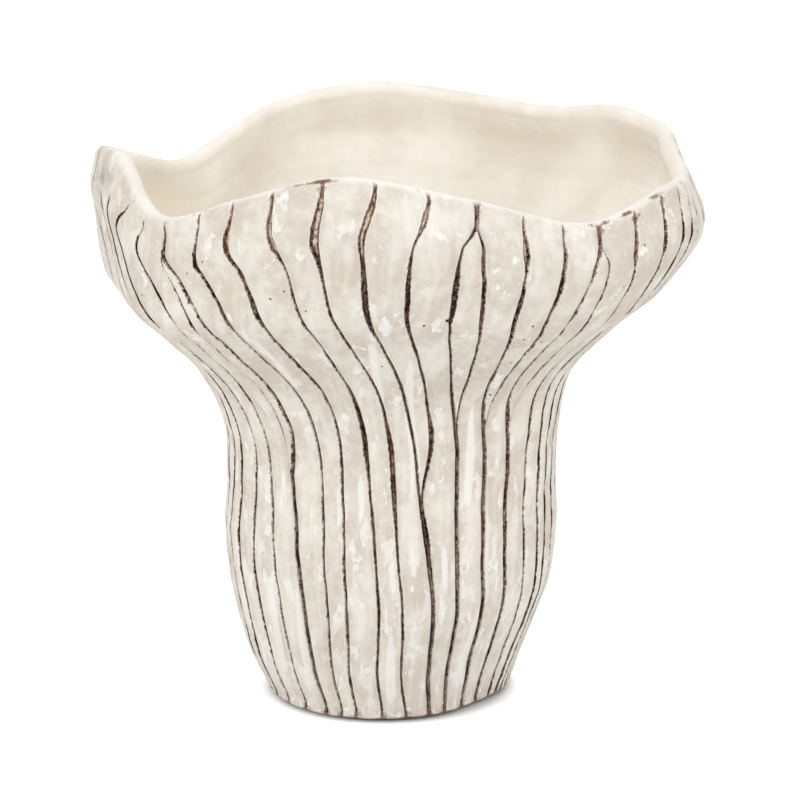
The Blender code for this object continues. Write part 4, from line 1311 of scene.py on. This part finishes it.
class PLANTER_OT_carve_shell(bpy.types.Operator):
    """Carves the ribbed, wavy shell and gives it its limewashed finish"""

    bl_idname = "planter.carve_shell"
    bl_label = "Carve shell"

    def execute(self, context):
        concrete = new_material("limewashed_concrete")
        inputs = shown_settings(context.scene.planter_carving, concrete)
        shell = grown("carved_shell", shell_blank(), carving_tree(), inputs, "planter")
        surface = shell_surface(shell.data)
        holes = [(on_shell(surface, azimuth, level)[0], radius) for azimuth, level, radius in PINHOLES]
        limewashed_concrete(concrete, context.scene.planter_finish, holes)
        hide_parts("planter_body")
        return {"FINISHED"}


def drips_tree():
    """Lays a round-ended bead of wash on each point, flat to the wall, upright and thinner at its top."""
    tree, given = new_geometry_tree("Run drips", [label(name) for name in BEAD_SIZES])
    bead = add(tree, "GeometryNodeMeshUVSphere", 14, 8, 1.0)
    across = add(tree, "GeometryNodeInputPosition")
    rise = add(tree, "ShaderNodeSeparateXYZ", across).node.outputs["Z"]
    taper = add(tree, RANGE, rise, -1.0, 1.0, 1.0, given["Bead top"])
    narrowed = add(tree, "ShaderNodeCombineXYZ", taper, taper, 1.0)
    narrowed = add(tree, STRETCHED, across, narrowed)
    bead = add(tree, "GeometryNodeSetPosition", bead, None, narrowed)
    length = add(tree, NUMBER, "bead_length")
    width = add(tree, NUMBER, "bead_width")
    size = add(tree, "ShaderNodeCombineXYZ", width, given["Bead height"], length)
    facing = add(tree, VECTOR, "facing")
    turn = add(tree, "FunctionNodeAxesToRotation", facing, (0, 0, 1), primary_axis="Y", secondary_axis="Z")
    bead = add(tree, "GeometryNodeSetShadeSmooth", bead)
    placed = add(tree, "GeometryNodeInstanceOnPoints", given["Geometry"], None, bead, None, None, turn, size)
    return finish_tree(tree, given, placed)


def thick_limewash(finish):
    """Limewash that ran and dried in beads: chalk white, matt, and dusty in patches."""
    material = new_material("thick_limewash")
    tree = material.node_tree
    place_mm = in_millimetres(tree)
    dust = add(tree, NOISE, place_mm, 1 / 2.5, 3.0)
    dust = add(tree, RANGE, dust, 0.4, 0.65, 0.0, 0.7)
    colour = add(tree, MIX, dust, finish.wash, finish.cream)
    lumps = add(tree, NOISE, place_mm, 1 / 1.5, 2.0)
    bumped = add(tree, "ShaderNodeBump", 0.5, 0.2 * MM, None, lumps)
    set_shader(material, {"Base Color": colour, "Roughness": 0.7, "Specular IOR Level": 0.25,
                          "Normal": bumped})
    return material


class PLANTER_OT_run_drips(bpy.types.Operator):
    """Runs the beads and drips of limewash over the carved shell"""

    bl_idname = "planter.run_drips"
    bl_label = "Run drips"

    def execute(self, context):
        surface = shell_surface(bpy.data.objects["carved_shell"].data)
        daubs = all_daubs()
        spots = [on_shell(surface, azimuth, level) for azimuth, level, *_ in daubs]
        points = bpy.data.meshes.new("drip_points")
        points.from_pydata([spot for spot, _ in spots], [], [])
        lengths = [length * MM / 2 for _, _, length, _, _ in daubs]
        widths = [width * MM / 2 for _, _, _, width, _ in daubs]
        store(points, "FLOAT", "value", {"bead_length": lengths, "bead_width": widths})
        store(points, "FLOAT_VECTOR", "vector", {"facing": [normal for _, normal in spots]})
        wash = thick_limewash(context.scene.planter_finish)
        inputs = shown_settings(context.scene.planter_carving, wash)
        drips = grown("wash_drips", points, drips_tree(), inputs, "planter")
        return {"FINISHED"}


class PLANTER_OT_turn_plug(bpy.types.Operator):
    """Turns the rubber drain plug"""

    bl_idname = "planter.turn_plug"
    bl_label = "Turn plug"

    def execute(self, context):
        low, high = PLUG_BOX
        bottom, top = low.z, high.z
        rim = (high.x - low.x) / 2
        seat = FLOOR_TOP - SEAT_DEPTH + SEAT_CLEARANCE
        stem = DRAIN_RADIUS - STEM_CLEARANCE
        profile = [(radius * MM, top - drop * MM) for radius, drop in GRIP]
        profile += [(radius * MM, seat + rise * MM) for radius, rise in NECK]
        profile += [(rim - inset * MM, seat + rise * MM) for inset, rise in FLANGE]
        profile += [(stem + 0.4 * MM, seat), (stem, seat - 0.4 * MM)]
        profile += [(stem - inset * MM, bottom + rise * MM) for inset, rise in STEM]
        profile += [(0, bottom)]
        mesh = turned("turned_plug", profile, 64)
        mesh.transform(Matrix.Translation((FOOT_CENTRE.x, FOOT_CENTRE.y, 0)))
        plug = bpy.data.objects.new("turned_plug", mesh)
        context.scene.collection.objects.link(plug)
        mesh.materials.append(rubber("moulded_plug_rubber", context.scene.planter_finish.plug, 0.55, 0.5))
        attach(plug, "plug")
        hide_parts("drain_plug")
        return {"FINISHED"}


def pads_tree():
    """Sets one pad on each given point."""
    tree, given = new_geometry_tree("Set pads", ["Pad"], "NodeSocketObject")
    pad = add(tree, "GeometryNodeObjectInfo", given["Pad"]).node.outputs["Geometry"]
    placed = add(tree, "GeometryNodeInstanceOnPoints", given["Geometry"], None, pad)
    return finish_tree(tree, given, placed)


class PLANTER_OT_stick_pads(bpy.types.Operator):
    """Sticks the four rubber pads under the foot"""

    bl_idname = "planter.stick_pads"
    bl_label = "Stick pads"

    def execute(self, context):
        names = sorted(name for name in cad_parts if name.startswith("foot_pad_"))
        boxes = [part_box(name) for name in names]
        low, high = boxes[0]
        radius = (high.x - low.x) / 2
        thickness = high.z - low.z
        profile = [(0, thickness), (radius - 0.6 * MM, thickness), (radius - 0.15 * MM, thickness - 0.2 * MM)]
        profile += [(radius, thickness - 0.5 * MM), (radius, 0.5 * MM), (radius - 0.15 * MM, 0.15 * MM)]
        profile += [(radius - 0.6 * MM, 0), (0, 0)]
        pad = bpy.data.objects.new("pad_pattern", turned("pad_pattern", profile, 48))
        context.scene.collection.objects.link(pad)
        points = bpy.data.meshes.new("pad_points")
        points.from_pydata([((a.x + b.x) / 2, (a.y + b.y) / 2, a.z) for a, b in boxes], [], [])
        foam = rubber("foamed_pad_rubber", context.scene.planter_finish.pads, 0.8, 0.7)
        pads = grown("foot_pads", points, pads_tree(), {"Pad": pad, "Material": foam}, "planter")
        bpy.data.objects.remove(pad)
        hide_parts(*names)
        return {"FINISHED"}


def aimed(name, data, location, target):
    """A camera or lamp at a place, turned to its target."""
    thing = bpy.data.objects.new(name, data)
    thing.location = location
    thing.rotation_euler = (target - thing.location).to_track_quat("-Z", "Y").to_euler()
    bpy.context.scene.collection.objects.link(thing)
    return thing


class PLANTER_OT_set_stage(bpy.types.Operator):
    """Sets the floor, the soft studio light and the camera"""

    bl_idname = "planter.set_stage"
    bl_label = "Set stage"

    def execute(self, context):
        stage = context.scene.planter_stage
        scene = context.scene
        centre = Vector((FOOT_CENTRE.x, FOOT_CENTRE.y, 0))
        lens = bpy.data.cameras.new("camera")
        lens.lens = LENS_MM
        lens.sensor_width = SENSOR_MM
        scene.camera = aimed("camera", lens, centre + CAMERA_FROM_FOOT, centre + TARGET_FROM_FOOT)

        for name, position, size, _, _ in LAMPS:
            lamp = bpy.data.lights.new(name, "AREA")
            lamp.size = size
            lamp.energy = getattr(stage, name)
            aimed(name, lamp, position, centre + LIT_POINT)

        world = bpy.data.worlds.new("studio")
        scene.world = world
        world.use_nodes = True
        tree = world.node_tree
        rays = add(tree, "ShaderNodeLightPath").node.outputs
        seen = add(tree, LARGER, rays["Is Camera Ray"], rays["Is Glossy Ray"])
        seen = add(tree, LARGER, seen, rays["Is Transmission Ray"])
        strength = add(tree, RANGE, seen, 0.0, 1.0, stage.ambient, 1.0)
        tree.nodes["Background"].inputs["Color"].default_value = (1, 1, 1, 1)
        tree.links.new(strength, tree.nodes["Background"].inputs["Strength"])

        mesh = bpy.data.meshes.new("floor")
        corners = ((-1, -1), (1, -1), (1, 1), (-1, 1))
        mesh.from_pydata([(x * FLOOR_HALF_WIDTH, y * FLOOR_HALF_WIDTH, 0) for x, y in corners], [],
                         [(0, 1, 2, 3)])
        floor = bpy.data.objects.new("floor", mesh)
        scene.collection.objects.link(floor)
        mesh.materials.append(studio_floor(stage.floor_lift, centre))
        scene.view_settings.view_transform = "Standard"
        return {"FINISHED"}


def studio_floor(lift, centre):
    """Matt white paper that the camera sees a little brighter than it is lit, but for the shadow round the
    foot, and that it sees through from below."""
    material = bpy.data.materials.new("studio_floor")
    material.use_nodes = True
    tree = material.node_tree
    tree.nodes.clear()
    paper = add(tree, "ShaderNodeBsdfDiffuse", (PAPER_WHITE, PAPER_WHITE, PAPER_WHITE, 1))
    rays = add(tree, "ShaderNodeLightPath").node.outputs
    seen = add(tree, LARGER, rays["Is Camera Ray"], rays["Is Glossy Ray"])
    seen = add(tree, TIMES, seen, lift)
    spot = add(tree, "ShaderNodeTexCoord").node.outputs["Object"]
    off = add(tree, APART, spot, tuple(centre)).node.outputs["Value"]
    inner, outer = (FOOT_RADIUS + reach for reach in FOOT_SHADOW)
    clear_of_foot = add(tree, RANGE, off, inner, outer, 0.0, 1.0)
    seen = add(tree, TIMES, seen, clear_of_foot)
    glow = add(tree, "ShaderNodeEmission", (1, 1, 1, 1), seen)
    lit = add(tree, "ShaderNodeAddShader", paper, glow)
    behind = add(tree, "ShaderNodeNewGeometry").node.outputs["Backfacing"]
    clear = add(tree, "ShaderNodeBsdfTransparent")
    mixed = add(tree, "ShaderNodeMixShader", behind, lit, clear)
    add(tree, "ShaderNodeOutputMaterial", mixed)
    return material


class PLANTER_PT_panel(bpy.types.Panel):
    """Lists the planter's makers and their sizes and colours"""

    bl_idname = "PLANTER_PT_panel"
    bl_label = "Fluted concrete planter"
    bl_space_type = "VIEW_3D"
    bl_region_type = "UI"
    bl_category = "Planter"

    def draw(self, context):
        for operator in OPERATORS:
            self.layout.operator(operator.bl_idname)
        for name in GROUPS:
            box = self.layout.box()
            group = getattr(context.scene, name)
            for setting in group.bl_rna.properties:
                if not setting.is_readonly and setting.identifier != "name":
                    box.prop(group, setting.identifier)


OPERATORS = (PLANTER_OT_carve_shell, PLANTER_OT_run_drips, PLANTER_OT_turn_plug, PLANTER_OT_stick_pads,
             PLANTER_OT_set_stage)
GROUPS = {"planter_carving": PlanterCarving, "planter_finish": PlanterFinish, "planter_stage": PlanterStage}
CLASSES = (*GROUPS.values(), *OPERATORS, PLANTER_PT_panel)


def register():
    for item in CLASSES:
        bpy.utils.register_class(item)
    for name, group in GROUPS.items():
        setattr(bpy.types.Scene, name, bpy.props.PointerProperty(type=group))


def unregister():
    for name in GROUPS:
        delattr(bpy.types.Scene, name)
    for item in reversed(CLASSES):
        bpy.utils.unregister_class(item)


def main():
    register()
    bpy.ops.planter.set_stage()
    bpy.ops.planter.carve_shell()
    bpy.ops.planter.run_drips()
    bpy.ops.planter.turn_plug()
    bpy.ops.planter.stick_pads()


if __name__ == "__main__":
    main()
